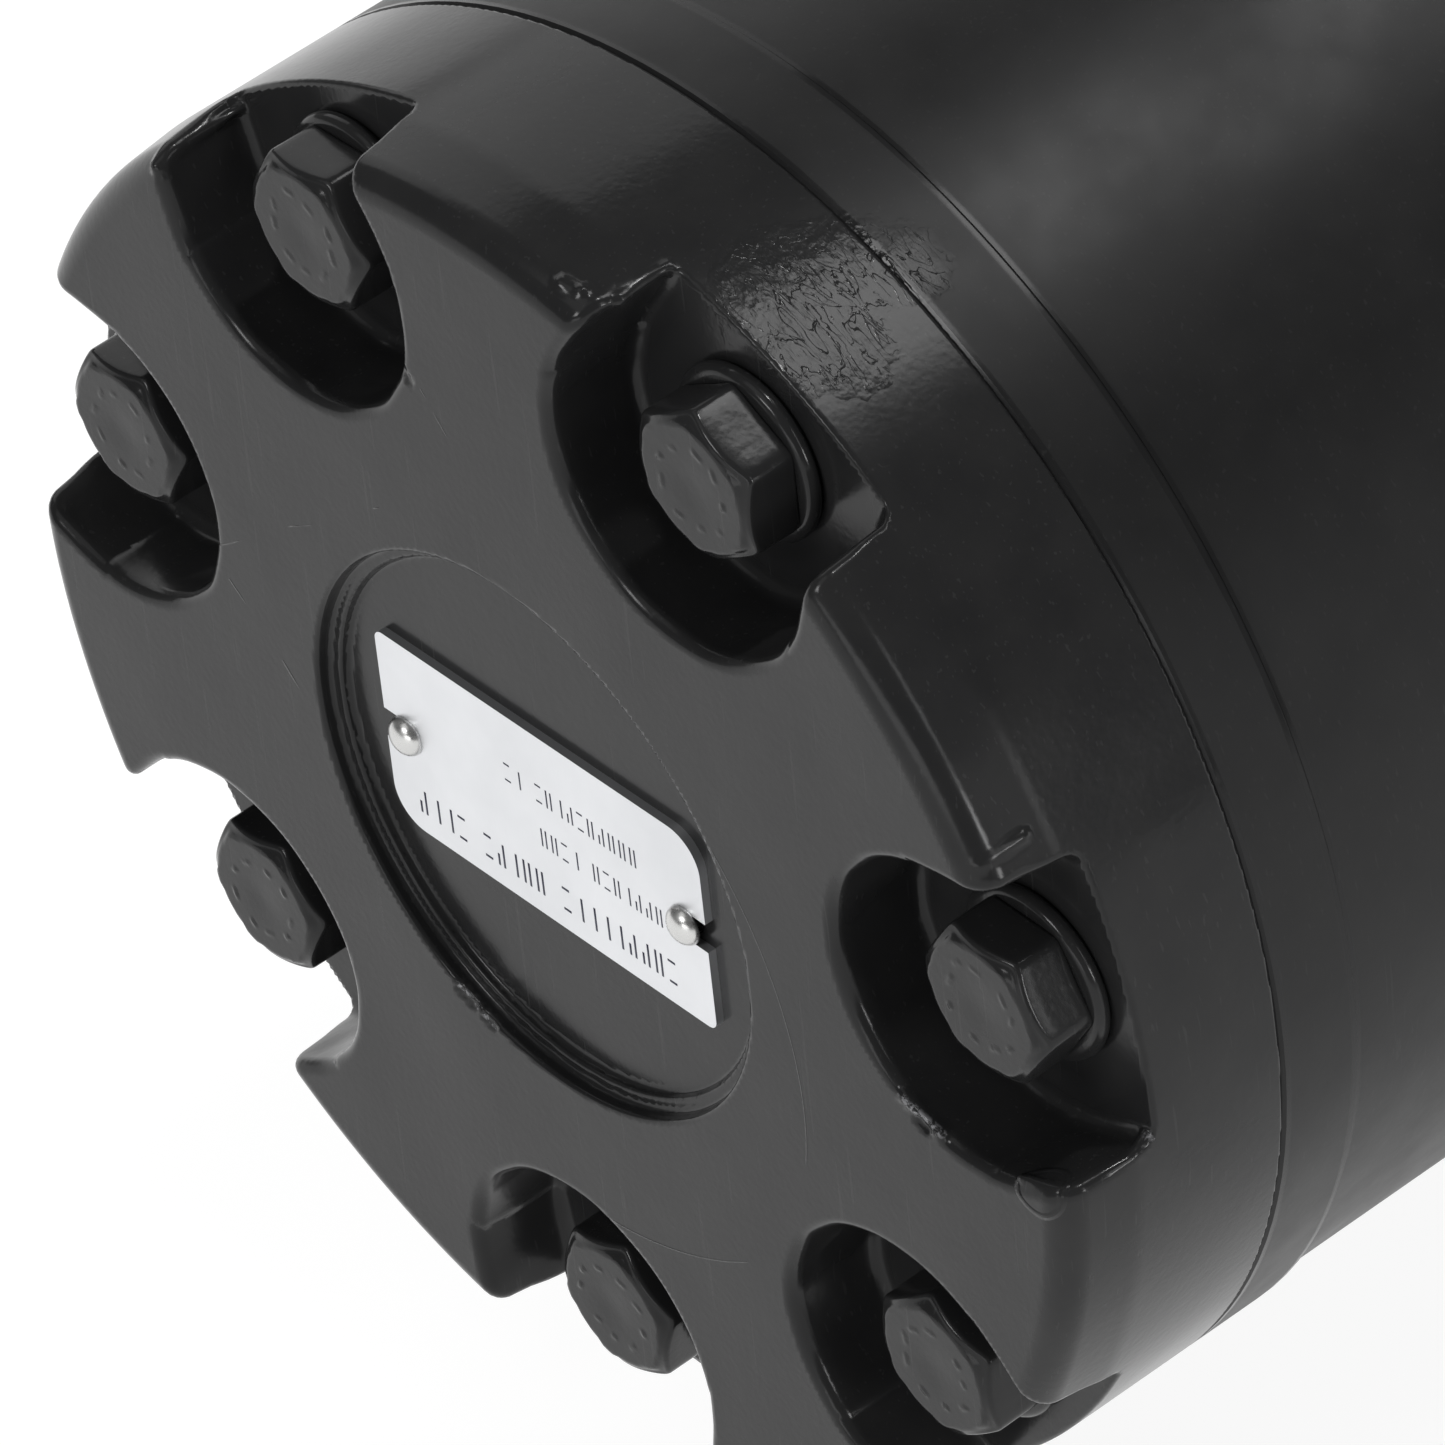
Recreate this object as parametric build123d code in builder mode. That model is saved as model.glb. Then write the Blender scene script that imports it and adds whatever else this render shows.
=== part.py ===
from build123d import *
import os
from math import atan, cos, pi, radians, sin, sqrt, tan, hypot

# Hydraulic orbit motor, disc-valve type, ports in the front housing.
# Frame: +X is the shaft axis and points out of the shaft end, +Z is up (the
# port face), origin at the centre of the mounting face of the flange.
# All sizes in millimetres.

os.makedirs("parts", exist_ok=True)

# ---------------------------------------------------------------- dimensions
BODY_R = 64.0            # end cover, valve plate, wear plate
RING_R = 63.3            # gear ring and front housing, a little under the plates
EDGE = 0.3               # edge break on the stacked plates

X_HOUSING = -100.0       # rear face of the front housing
WEAR_T = 7.0
RING_LEN = 55.0
VALVE_T = 8.3
COVER_T = 23.0
X_WEAR = X_HOUSING - WEAR_T          # -107.0  wear plate / gear ring
X_RING = X_WEAR - RING_LEN           # -162.0  gear ring / valve plate
X_VALVE = X_RING - VALVE_T           # -170.3  valve plate / end cover
X_FACE = X_VALVE - COVER_T           # -193.3  rear face of the end cover

# bolts that hold the stack together
BOLT_N = 7
BOLT_R = 53.75           # radius of the bolt circle
BOLT_A0 = 90.0 / 7.0     # first bolt, so that one bolt stands straight down
BOLT_D = 8.0
BOLT_AF = 13.0
BOLT_HEAD = 5.3
BOLT_END = -80.0
WASHER_R = 8.0
WASHER_T = 1.6
POCKET_R = 14.3
POCKET_HALF = 13.7       # half width of the pocket's mouth at the rim
POCKET_DEPTH = 9.3
HEX_TURN = [42.3, 53.0, 34.0, 14.7, 47.3, 12.9, 30.9]   # how each head stopped

# gear set: 7 rollers in the ring, 6 lobes on the rotor
RT_R = 38.0              # radius of the roller centres
RT_ROLLER = 7.47
RT_POCKET = 7.50
RT_E = 3.5               # eccentricity of the rotor
RT_GAP = 0.10            # between rotor and rollers
RT_BORE = 37.8           # bore of the ring between the rollers
SIDE_GAP = 0.03

# oil passages
GAL_R = 54.5
GAL_A = 75.0
GAL_B = 90.0
GAL_HOLE = 3.0
DOWEL_ANGLES = (90.0 + 2 * 360.0 / 7.0, 90.0 - 2 * 360.0 / 7.0)
DOWEL_HOLE = 2.0

# static seals: groove between two radii, in one face of each joint
GROOVE_IN = 59.4
GROOVE_OUT = 61.4
GROOVE_DEPTH = 1.5
ORING_R = 0.74

# flange
FL_SQ = 145.0
FL_CORNER = 16.0
FL_T = 20.0
PILOT_R = 62.5
PILOT_H = 8.0
FL_PCD = 160.0
FL_HOLE = 7.0
SPIGOT_R = 46.0
SPIGOT_L = 6.0
SCREW_R = 54.0
SCREW_N = 6

# bearings
BR_BORE = 22.5
BR_OD = 40.0
BR_PITCH = 31.0
BR_ROLLER = 3.6
BR_ANGLE = radians(13.0)
BR_HALF = 5.5            # half length of a roller
BR_N = 18
X_BR_FRONT = -35.0
X_BR_REAR = -81.0

# splines inside the shaft, the rotor and the disc valve
SP_N = 12
SP_ROOT = 12.5
SP_TIP = 14.8
SP_W = 3.2
SP_C = 0.4
X_LINK_FRONT = -54.0     # centre of the drive link's front spline
X_LINK_REAR = -124.0     # centre of the drive link's rear spline, in the rotor
X_VLINK_FRONT = -143.0
X_VLINK_REAR = -174.0

bolt_angles = [BOLT_A0 + 360.0 / BOLT_N * k for k in range(BOLT_N)]
roller_angles = [BOLT_A0 + 180.0 / BOLT_N + 360.0 / BOLT_N * k for k in range(BOLT_N)]


def polar(radius, angle):
    """Y and Z of a point at an angle from +Y towards +Z."""
    return (radius * cos(radians(angle)), radius * sin(radians(angle)))


def tilted_plane(start, end):
    """Plane at start, normal towards end, its x direction nearest to +Y."""
    d = (Vector(*end) - Vector(*start)).normalized()
    y = Vector(0, 1, 0)
    return Plane(origin=start, x_dir=(y - d * y.dot(d)).normalized(), z_dir=d)


def drill_plane(start, end):
    """Plane at start with its normal towards end, and the distance between."""
    d = Vector(*end) - Vector(*start)
    return Plane(origin=start, z_dir=d.normalized()), d.length


# ---------------------------------------------------------------- end cover
with BuildPart() as end_cover:
    with BuildSketch(Plane.XY) as cover_profile:
        with BuildLine():
            Polyline(
                (X_FACE, 0), (X_FACE, 63.2), (X_FACE + 7.3, BODY_R),
                (X_VALVE, BODY_R), (X_VALVE, 0), close=True,
            )
        make_face()
        fillet(cover_profile.vertices().sort_by_distance((X_FACE, 63.2, 0))[0], 2.6)
        chamfer(cover_profile.vertices().sort_by_distance((X_VALVE, BODY_R, 0))[0], EDGE)
    revolve(axis=Axis.X)
    # scalloped pockets round the bolt heads, open at the rim
    with BuildSketch(Plane.YZ.offset(X_FACE)):
        with PolarLocations(BOLT_R, BOLT_N, start_angle=BOLT_A0):
            Circle(POCKET_R)
            Rectangle(20.0, 2 * POCKET_HALF, align=(Align.MIN, Align.CENTER))
    extrude(amount=POCKET_DEPTH, mode=Mode.SUBTRACT)
    # round recess for the nameplate, in two steps
    with BuildSketch(Plane.YZ.offset(X_FACE)):
        Circle(26.3)
    extrude(amount=1.5, mode=Mode.SUBTRACT)
    with BuildSketch(Plane.YZ.offset(X_FACE)):
        Circle(25.0)
    extrude(amount=2.4, mode=Mode.SUBTRACT)
    # bolt holes
    with BuildSketch(Plane.YZ.offset(X_FACE)):
        with PolarLocations(BOLT_R, BOLT_N, start_angle=BOLT_A0):
            Circle(BOLT_D / 2 + 0.5)
    extrude(amount=COVER_T, mode=Mode.SUBTRACT)
    # chamber for the disc valve, and the bore of the balance ring behind it
    with BuildSketch(Plane.YZ.offset(X_VALVE)):
        Circle(38.5)
    extrude(amount=-9.0, mode=Mode.SUBTRACT)
    with BuildSketch(Plane.YZ.offset(X_VALVE)):
        Circle(27.1)
    extrude(amount=-13.0, mode=Mode.SUBTRACT)
    # seal groove
    with BuildSketch(Plane.YZ.offset(X_VALVE)):
        Circle(GROOVE_OUT)
        Circle(GROOVE_IN, mode=Mode.SUBTRACT)
    extrude(amount=-GROOVE_DEPTH, mode=Mode.SUBTRACT)
    # dowel holes
    with BuildSketch(Plane.YZ.offset(X_VALVE)):
        with Locations(*[polar(GAL_R, a) for a in DOWEL_ANGLES]):
            Circle(DOWEL_HOLE)
    extrude(amount=-4.0, mode=Mode.SUBTRACT)
    # passage A: into the outer chamber of the disc valve
    with BuildSketch(Plane.YZ.offset(X_VALVE)):
        with Locations(polar(GAL_R, GAL_A)):
            Circle(GAL_HOLE)
    extrude(amount=-6.0, mode=Mode.SUBTRACT)
    plane_a, length_a = drill_plane(
        (X_VALVE - 3.5, *polar(GAL_R, GAL_A)), (X_VALVE - 5.0, *polar(36.0, GAL_A))
    )
    with BuildSketch(plane_a):
        Circle(2.2)
    extrude(amount=length_a, mode=Mode.SUBTRACT)
    # passage B: through the floor to the inner chamber
    with BuildSketch(Plane.YZ.offset(X_VALVE)):
        with Locations(polar(GAL_R, GAL_B)):
            Circle(2.0)
    extrude(amount=-19.0, mode=Mode.SUBTRACT)
    plane_b, length_b = drill_plane((X_FACE + 6.0, 0, GAL_R), (X_FACE + 6.0, 0, 13.0))
    with BuildSketch(plane_b):
        Circle(2.0)
    extrude(amount=length_b, mode=Mode.SUBTRACT)
    with BuildSketch(Plane.YZ.offset(X_FACE + 6.0)):
        with Locations((0, 14.0)):
            Circle(2.0)
    extrude(amount=6.0, mode=Mode.SUBTRACT)
    # holes for the drive rivets of the nameplate
    with BuildSketch(Plane.YZ.offset(X_FACE + 2.4)):
        with Locations((17.1, 0), (-17.1, 0)):
            Circle(1.2)
    extrude(amount=3.0, mode=Mode.SUBTRACT)
end_cover.part.label = "end_cover"
export_step(end_cover.part, "parts/end_cover.step")

# ---------------------------------------------------------------- valve plate
with BuildPart() as valve_plate:
    with BuildSketch(Plane.XY) as plate_profile:
        with BuildLine():
            Polyline(
                (X_VALVE, 17.0), (X_VALVE, BODY_R - EDGE), (X_VALVE + EDGE, BODY_R),
                (X_RING - EDGE, BODY_R), (X_RING, BODY_R - EDGE), (X_RING, 17.0),
                close=True,
            )
        make_face()
    revolve(axis=Axis.X)
    with BuildSketch(Plane.YZ.offset(X_VALVE)):
        with PolarLocations(BOLT_R, BOLT_N, start_angle=BOLT_A0):
            Circle(BOLT_D / 2 + 0.5)
        # seven ways to the chambers between the rollers
        with PolarLocations(31.5, BOLT_N, start_angle=BOLT_A0):
            Circle(2.8)
        with Locations(polar(GAL_R, GAL_A), polar(GAL_R, GAL_B)):
            Circle(GAL_HOLE)
        with Locations(*[polar(GAL_R, a) for a in DOWEL_ANGLES]):
            Circle(DOWEL_HOLE)
    extrude(amount=VALVE_T, mode=Mode.SUBTRACT)
valve_plate.part.label = "valve_plate"
export_step(valve_plate.part, "parts/valve_plate.step")

# ---------------------------------------------------------------- gear ring
with BuildPart() as gear_ring:
    with BuildSketch(Plane.XY) as ring_profile:
        with BuildLine():
            Polyline(
                (X_RING, 0), (X_RING, RING_R - EDGE), (X_RING + EDGE, RING_R),
                (X_WEAR - EDGE, RING_R), (X_WEAR, RING_R - EDGE), (X_WEAR, 0),
                close=True,
            )
        make_face()
    revolve(axis=Axis.X)
    with BuildSketch(Plane.YZ.offset(X_RING)):
        Circle(RT_BORE)
        with PolarLocations(RT_R, BOLT_N, start_angle=roller_angles[0]):
            Circle(RT_POCKET)
        with PolarLocations(BOLT_R, BOLT_N, start_angle=BOLT_A0):
            Circle(BOLT_D / 2 + 0.5)
        with Locations(polar(GAL_R, GAL_A), polar(GAL_R, GAL_B)):
            Circle(GAL_HOLE)
    extrude(amount=RING_LEN, mode=Mode.SUBTRACT)
    for groove_x, into in ((X_RING, 1), (X_WEAR, -1)):
        with BuildSketch(Plane.YZ.offset(groove_x)):
            Circle(GROOVE_OUT)
            Circle(GROOVE_IN, mode=Mode.SUBTRACT)
        extrude(amount=into * GROOVE_DEPTH, mode=Mode.SUBTRACT)
    with BuildSketch(Plane.YZ.offset(X_RING)):
        with Locations(*[polar(GAL_R, a) for a in DOWEL_ANGLES]):
            Circle(DOWEL_HOLE)
    extrude(amount=4.0, mode=Mode.SUBTRACT)
gear_ring.part.label = "gear_ring"
export_step(gear_ring.part, "parts/gear_ring.step")

# ------------------------------------------------- rollers of the gear ring
for number, angle in enumerate(roller_angles, start=1):
    with BuildPart() as ring_roller:
        with BuildSketch(Plane.YZ.offset(X_RING + SIDE_GAP)):
            with Locations(polar(RT_R, angle)):
                Circle(RT_ROLLER)
        extrude(amount=RING_LEN - 2 * SIDE_GAP)
        chamfer(ring_roller.edges().filter_by(GeomType.CIRCLE), 0.4)
    ring_roller.part.label = f"ring_roller_{number}"
    export_step(ring_roller.part, f"parts/ring_roller_{number}.step")

# ---------------------------------------------------------------- rotor
# the six-lobed profile is the path of a roller's centre, seen from the rotor,
# moved inwards by the roller's radius and the gap
rotor_points = []
ROTOR_STEPS = 180
for k in range(ROTOR_STEPS):
    s = 2 * pi * k / ROTOR_STEPS
    px = RT_R * cos(s) - RT_E * cos(7 * s + pi / 2)
    py = RT_R * sin(s) - RT_E * sin(7 * s + pi / 2)
    tx = -RT_R * sin(s) + 7 * RT_E * sin(7 * s + pi / 2)
    ty = RT_R * cos(s) - 7 * RT_E * cos(7 * s + pi / 2)
    t = hypot(tx, ty)
    w = RT_ROLLER + RT_GAP
    rotor_points.append((RT_E + px - w * ty / t, py + w * tx / t))

with BuildPart() as rotor:
    with BuildSketch(Plane.YZ.offset(X_RING + SIDE_GAP)):
        with BuildLine():
            Spline(*rotor_points, periodic=True)
        make_face()
        with Locations((RT_E, 0)):
            Circle(SP_ROOT + SP_C, mode=Mode.SUBTRACT)
            with PolarLocations(0, SP_N):
                Rectangle(SP_TIP + SP_C, SP_W + 2 * SP_C,
                          align=(Align.MIN, Align.CENTER), mode=Mode.SUBTRACT)
    extrude(amount=RING_LEN - 2 * SIDE_GAP)
rotor.part.label = "rotor"
export_step(rotor.part, "parts/rotor.step")

# ---------------------------------------------------------------- wear plate
with BuildPart() as wear_plate:
    with BuildSketch(Plane.XY):
        with BuildLine():
            Polyline(
                (X_WEAR, 19.0), (X_WEAR, BODY_R - EDGE), (X_WEAR + EDGE, BODY_R),
                (X_HOUSING - EDGE, BODY_R), (X_HOUSING, BODY_R - EDGE), (X_HOUSING, 19.0),
                close=True,
            )
        make_face()
    revolve(axis=Axis.X)
    with BuildSketch(Plane.YZ.offset(X_WEAR)):
        with PolarLocations(BOLT_R, BOLT_N, start_angle=BOLT_A0):
            Circle(BOLT_D / 2 + 0.5)
        with Locations(polar(GAL_R, GAL_A), polar(GAL_R, GAL_B)):
            Circle(GAL_HOLE)
    extrude(amount=WEAR_T, mode=Mode.SUBTRACT)
wear_plate.part.label = "wear_plate"
export_step(wear_plate.part, "parts/wear_plate.step")

# ---------------------------------------------------------------- front housing
PAD_Z = 76.0
PORT_X, PORT_Y = -66.0, 22.0
PORT_R, PORT_DEPTH = 12.25, 17.0
DRAIN_X, DRAIN_R, DRAIN_DEPTH = -50.0, 5.9, 13.0
with BuildPart() as front_housing:
    with BuildSketch(Plane.XY):
        with BuildLine():
            Polyline(
                (X_HOUSING, 0), (X_HOUSING, RING_R - EDGE), (X_HOUSING + EDGE, RING_R),
                (-FL_T, RING_R), (-FL_T, 0), close=True,
            )
        make_face()
    revolve(axis=Axis.X)
    # pad for the ports
    with BuildSketch(Plane.XY.offset(30.0)):
        with Locations((PORT_X, 0)):
            RectangleRounded(60.0, 92.0, 9.0)
    extrude(amount=PAD_Z - 30.0)
    fillet(front_housing.faces().sort_by(Axis.Z)[-1].edges(), 1.5)
    # seats of the bearings, with a shoulder for each cup
    with BuildSketch(Plane.XY):
        with BuildLine():
            Polyline(
                (X_HOUSING, 0), (X_HOUSING, BR_OD), (X_BR_REAR + 9.0, BR_OD),
                (X_BR_REAR + 9.0, 36.0), (X_BR_FRONT - 9.0, 36.0),
                (X_BR_FRONT - 9.0, BR_OD), (-FL_T - SPIGOT_L, BR_OD),
                (-FL_T - SPIGOT_L, SPIGOT_R), (-FL_T, SPIGOT_R), (-FL_T, 0),
                close=True,
            )
        make_face()
    revolve(axis=Axis.X, mode=Mode.SUBTRACT)
    # tapped holes of the long bolts
    with BuildSketch(Plane.YZ.offset(X_HOUSING)):
        with PolarLocations(BOLT_R, BOLT_N, start_angle=BOLT_A0):
            Circle(BOLT_D / 2)
    extrude(amount=24.0, mode=Mode.SUBTRACT)
    # tapped holes of the flange screws
    with BuildSketch(Plane.YZ.offset(-FL_T)):
        with PolarLocations(SCREW_R, SCREW_N, start_angle=30.0):
            Circle(4.0)
    extrude(amount=-20.0, mode=Mode.SUBTRACT)
    # rear seal groove
    with BuildSketch(Plane.YZ.offset(X_HOUSING)):
        Circle(GROOVE_OUT)
        Circle(GROOVE_IN, mode=Mode.SUBTRACT)
    extrude(amount=GROOVE_DEPTH, mode=Mode.SUBTRACT)
    # the two working ports and the drain port
    with BuildSketch(Plane.XY.offset(PAD_Z)):
        with Locations((PORT_X, PORT_Y), (PORT_X, -PORT_Y)):
            Circle(PORT_R)
    extrude(amount=-PORT_DEPTH - 1.0, mode=Mode.SUBTRACT)
    with BuildSketch(Plane.XY.offset(PAD_Z)):
        with Locations((PORT_X, PORT_Y), (PORT_X, -PORT_Y)):
            Circle(17.0)
    extrude(amount=-1.0, mode=Mode.SUBTRACT)
    with BuildSketch(Plane.XY.offset(PAD_Z)):
        with Locations((DRAIN_X, 0)):
            Circle(DRAIN_R)
    extrude(amount=-DRAIN_DEPTH - 1.0, mode=Mode.SUBTRACT)
    with BuildSketch(Plane.XY.offset(PAD_Z)):
        with Locations((DRAIN_X, 0)):
            Circle(9.0)
    extrude(amount=-1.0, mode=Mode.SUBTRACT)
    with BuildSketch(Plane.XY.offset(PAD_Z)):
        with Locations((DRAIN_X, 0)):
            Circle(2.5)
    extrude(amount=-(PAD_Z - 34.0), mode=Mode.SUBTRACT)
    # oil passages from the working ports to the rear face
    with BuildSketch(Plane.YZ.offset(X_HOUSING)):
        with Locations(polar(GAL_R, GAL_A), polar(GAL_R, GAL_B)):
            Circle(GAL_HOLE)
    extrude(amount=PORT_X - X_HOUSING + 4.0, mode=Mode.SUBTRACT)
    with BuildSketch(Plane.XY.offset(60.0)):
        with Locations((PORT_X, polar(GAL_R, GAL_A)[0])):
            Circle(2.3)
    extrude(amount=-7.6, mode=Mode.SUBTRACT)
    plane_p, length_p = drill_plane((PORT_X, -14.0, 59.5), (PORT_X, 0.0, GAL_R))
    with BuildSketch(plane_p):
        Circle(2.3)
    extrude(amount=length_p, mode=Mode.SUBTRACT)
front_housing.part.label = "front_housing"
export_step(front_housing.part, "parts/front_housing.step")

# ---------------------------------------------------------------- mounting flange
with BuildPart() as mounting_flange:
    with BuildSketch(Plane.YZ.offset(-FL_T)):
        RectangleRounded(FL_SQ, FL_SQ, FL_CORNER)
    extrude(amount=FL_T)
    chamfer(mounting_flange.faces().sort_by(Axis.X)[0].edges(), 1.0)
    with BuildSketch(Plane.YZ):
        Circle(PILOT_R)
    extrude(amount=PILOT_H)
    chamfer(mounting_flange.faces().sort_by(Axis.X)[-1].edges(), 1.0)
    with BuildSketch(Plane.YZ.offset(-FL_T - SPIGOT_L)):
        Circle(SPIGOT_R)
    extrude(amount=SPIGOT_L)
    # bore: rear chamber, ring groove, seal seat, web, dust seal seat
    with BuildSketch(Plane.XY):
        with BuildLine():
            Polyline(
                (-26.0, 0), (-26.0, 38.0), (-16.0, 38.0), (-16.0, 35.0), (-14.0, 35.0),
                (-14.0, 36.5), (-12.2, 36.5), (-12.2, 35.0), (-3.0, 35.0), (-3.0, 26.0),
                (3.0, 26.0), (3.0, 32.0), (PILOT_H, 32.0), (PILOT_H, 0), close=True,
            )
        make_face()
    revolve(axis=Axis.X, mode=Mode.SUBTRACT)
    # groove of the flange seal, round the spigot
    with BuildSketch(Plane.YZ.offset(-24.4)):
        Circle(SPIGOT_R + 1.0)
        Circle(SPIGOT_R - 1.5, mode=Mode.SUBTRACT)
    extrude(amount=2.4, mode=Mode.SUBTRACT)
    # four mounting holes and six counterbored screw holes
    with BuildSketch(Plane.YZ.offset(-FL_T)):
        with PolarLocations(FL_PCD / 2, 4, start_angle=45.0):
            Circle(FL_HOLE)
        with PolarLocations(SCREW_R, SCREW_N, start_angle=30.0):
            Circle(4.5)
    extrude(amount=FL_T + PILOT_H, mode=Mode.SUBTRACT)
    with BuildSketch(Plane.YZ.offset(PILOT_H)):
        with PolarLocations(SCREW_R, SCREW_N, start_angle=30.0):
            Circle(7.0)
    extrude(amount=-8.8, mode=Mode.SUBTRACT)
mounting_flange.part.label = "mounting_flange"
export_step(mounting_flange.part, "parts/mounting_flange.step")

# six socket-head screws that hold the flange to the housing
with BuildPart() as flange_screws:
    with BuildSketch(Plane.YZ.offset(-0.8)):
        with PolarLocations(SCREW_R, SCREW_N, start_angle=30.0):
            Circle(6.5)
    extrude(amount=8.0)
    chamfer(flange_screws.faces().filter_by(Axis.X).group_by(Axis.X)[-1].edges(), 0.6)
    with BuildSketch(Plane.YZ.offset(7.2)):
        with PolarLocations(SCREW_R, SCREW_N, start_angle=30.0):
            RegularPolygon(radius=3.0, side_count=6, major_radius=False)
    extrude(amount=-4.0, mode=Mode.SUBTRACT)
    with BuildSketch(Plane.YZ.offset(-0.8)):
        with PolarLocations(SCREW_R, SCREW_N, start_angle=30.0):
            Circle(4.0)
    extrude(amount=-35.0)
flange_screws.part.label = "flange_screws"
export_step(flange_screws.part, "parts/flange_screws.step")

# ---------------------------------------------------------------- cover bolts
X_SEAT = X_FACE + POCKET_DEPTH
X_UNDER = X_SEAT - WASHER_T              # under the heads
X_HEAD = X_UNDER - BOLT_HEAD             # top of the heads
with BuildPart(mode=Mode.PRIVATE) as one_bolt:
    with BuildSketch(Plane.YZ.offset(X_HEAD)):
        RegularPolygon(radius=BOLT_AF / 2, side_count=6, major_radius=False)
    extrude(amount=BOLT_HEAD)
    with BuildSketch(Plane.XY):
        with BuildLine():
            Polyline(
                (X_HEAD, 0), (X_HEAD, 6.1), (X_HEAD + 0.9, 7.6), (X_UNDER, 7.6),
                (X_UNDER, 0), close=True,
            )
        make_face()
    revolve(axis=Axis.X, mode=Mode.INTERSECT)
    with BuildSketch(Plane.YZ.offset(X_UNDER)):
        Circle(BOLT_D / 2)
    extrude(amount=BOLT_END - X_UNDER)
    chamfer(one_bolt.faces().sort_by(Axis.X)[-1].edges(), 0.8)
with BuildPart() as cover_bolts:
    for angle, turn in zip(bolt_angles, HEX_TURN):
        y, z = polar(BOLT_R, angle)
        add(one_bolt.part.rotate(Axis.X, angle + turn).moved(Location((0, y, z))))
cover_bolts.part.label = "cover_bolts"
export_step(cover_bolts.part, "parts/cover_bolts.step")

with BuildPart() as bolt_washers:
    with BuildSketch(Plane.YZ.offset(X_UNDER)):
        with PolarLocations(BOLT_R, BOLT_N, start_angle=BOLT_A0):
            Circle(WASHER_R)
            Circle(4.3, mode=Mode.SUBTRACT)
    extrude(amount=WASHER_T)
bolt_washers.part.label = "bolt_washers"
export_step(bolt_washers.part, "parts/bolt_washers.step")

# ---------------------------------------------------------------- nameplate
PLATE_L, PLATE_W, PLATE_T = 39.5, 20.0, 0.8
RIVET_Y = 17.1
X_PLATE = X_FACE + 2.4
with BuildPart() as nameplate:
    with BuildSketch(Plane.YZ.offset(X_PLATE)) as plate_outline:
        Rectangle(PLATE_L, PLATE_W)
        corners = plate_outline.vertices()
        fillet(corners.sort_by_distance((PLATE_L / 2, -PLATE_W / 2, 0))[0], 3.5)
        fillet(plate_outline.vertices().sort_by_distance((-PLATE_L / 2, PLATE_W / 2, 0))[0], 3.5)
        fillet(plate_outline.vertices().sort_by_distance((PLATE_L / 2, PLATE_W / 2, 0))[0], 1.0)
        fillet(plate_outline.vertices().sort_by_distance((-PLATE_L / 2, -PLATE_W / 2, 0))[0], 1.0)
        with Locations((RIVET_Y, 0), (-RIVET_Y, 0)):
            Circle(1.5, mode=Mode.SUBTRACT)
        with Locations((RIVET_Y + 3.0, 0), (-RIVET_Y - 3.0, 0)):
            Rectangle(6.0, 3.0, mode=Mode.SUBTRACT)
    extrude(amount=-PLATE_T)
nameplate.part.label = "nameplate"
export_step(nameplate.part, "parts/nameplate.step")

with BuildPart() as nameplate_rivets:
    with BuildSketch(Plane.YZ.offset(X_PLATE - PLATE_T)):
        with Locations((RIVET_Y, 0), (-RIVET_Y, 0)):
            Circle(1.85)
    extrude(amount=-1.3)
    fillet(nameplate_rivets.faces().filter_by(Axis.X).group_by(Axis.X)[0].edges(), 1.2)
    with BuildSketch(Plane.YZ.offset(X_PLATE - PLATE_T)):
        with Locations((RIVET_Y, 0), (-RIVET_Y, 0)):
            Circle(1.2)
    extrude(amount=PLATE_T + 2.8)
nameplate_rivets.part.label = "nameplate_rivets"
export_step(nameplate_rivets.part, "parts/nameplate_rivets.step")

# ---------------------------------------------------------------- static seals
GROOVE_MID = (GROOVE_IN + GROOVE_OUT) / 2
with BuildPart() as cover_o_ring:
    with BuildSketch(Plane.XY):
        with Locations((X_VALVE - 0.75, GROOVE_MID)):
            Circle(ORING_R)
    revolve(axis=Axis.X)
cover_o_ring.part.label = "cover_o_ring"
export_step(cover_o_ring.part, "parts/cover_o_ring.step")

with BuildPart() as valve_plate_o_ring:
    with BuildSketch(Plane.XY):
        with Locations((X_RING + 0.75, GROOVE_MID)):
            Circle(ORING_R)
    revolve(axis=Axis.X)
valve_plate_o_ring.part.label = "valve_plate_o_ring"
export_step(valve_plate_o_ring.part, "parts/valve_plate_o_ring.step")

with BuildPart() as wear_plate_o_ring:
    with BuildSketch(Plane.XY):
        with Locations((X_WEAR - 0.75, GROOVE_MID)):
            Circle(ORING_R)
    revolve(axis=Axis.X)
wear_plate_o_ring.part.label = "wear_plate_o_ring"
export_step(wear_plate_o_ring.part, "parts/wear_plate_o_ring.step")

with BuildPart() as housing_o_ring:
    with BuildSketch(Plane.XY):
        with Locations((X_HOUSING + 0.75, GROOVE_MID)):
            Circle(ORING_R)
    revolve(axis=Axis.X)
housing_o_ring.part.label = "housing_o_ring"
export_step(housing_o_ring.part, "parts/housing_o_ring.step")

with BuildPart() as flange_o_ring:
    with BuildSketch(Plane.XY):
        with Locations((-23.2, SPIGOT_R - 0.75)):
            Circle(ORING_R)
    revolve(axis=Axis.X)
flange_o_ring.part.label = "flange_o_ring"
export_step(flange_o_ring.part, "parts/flange_o_ring.step")

with BuildPart() as dowel_pins:
    with BuildSketch(Plane.YZ.offset(X_VALVE - 3.8)):
        with Locations(*[polar(GAL_R, a) for a in DOWEL_ANGLES]):
            Circle(DOWEL_HOLE)
    extrude(amount=VALVE_T + 7.6)
    chamfer(dowel_pins.edges().filter_by(GeomType.CIRCLE), 0.4)
dowel_pins.part.label = "dowel_pins"
export_step(dowel_pins.part, "parts/dowel_pins.step")

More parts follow.
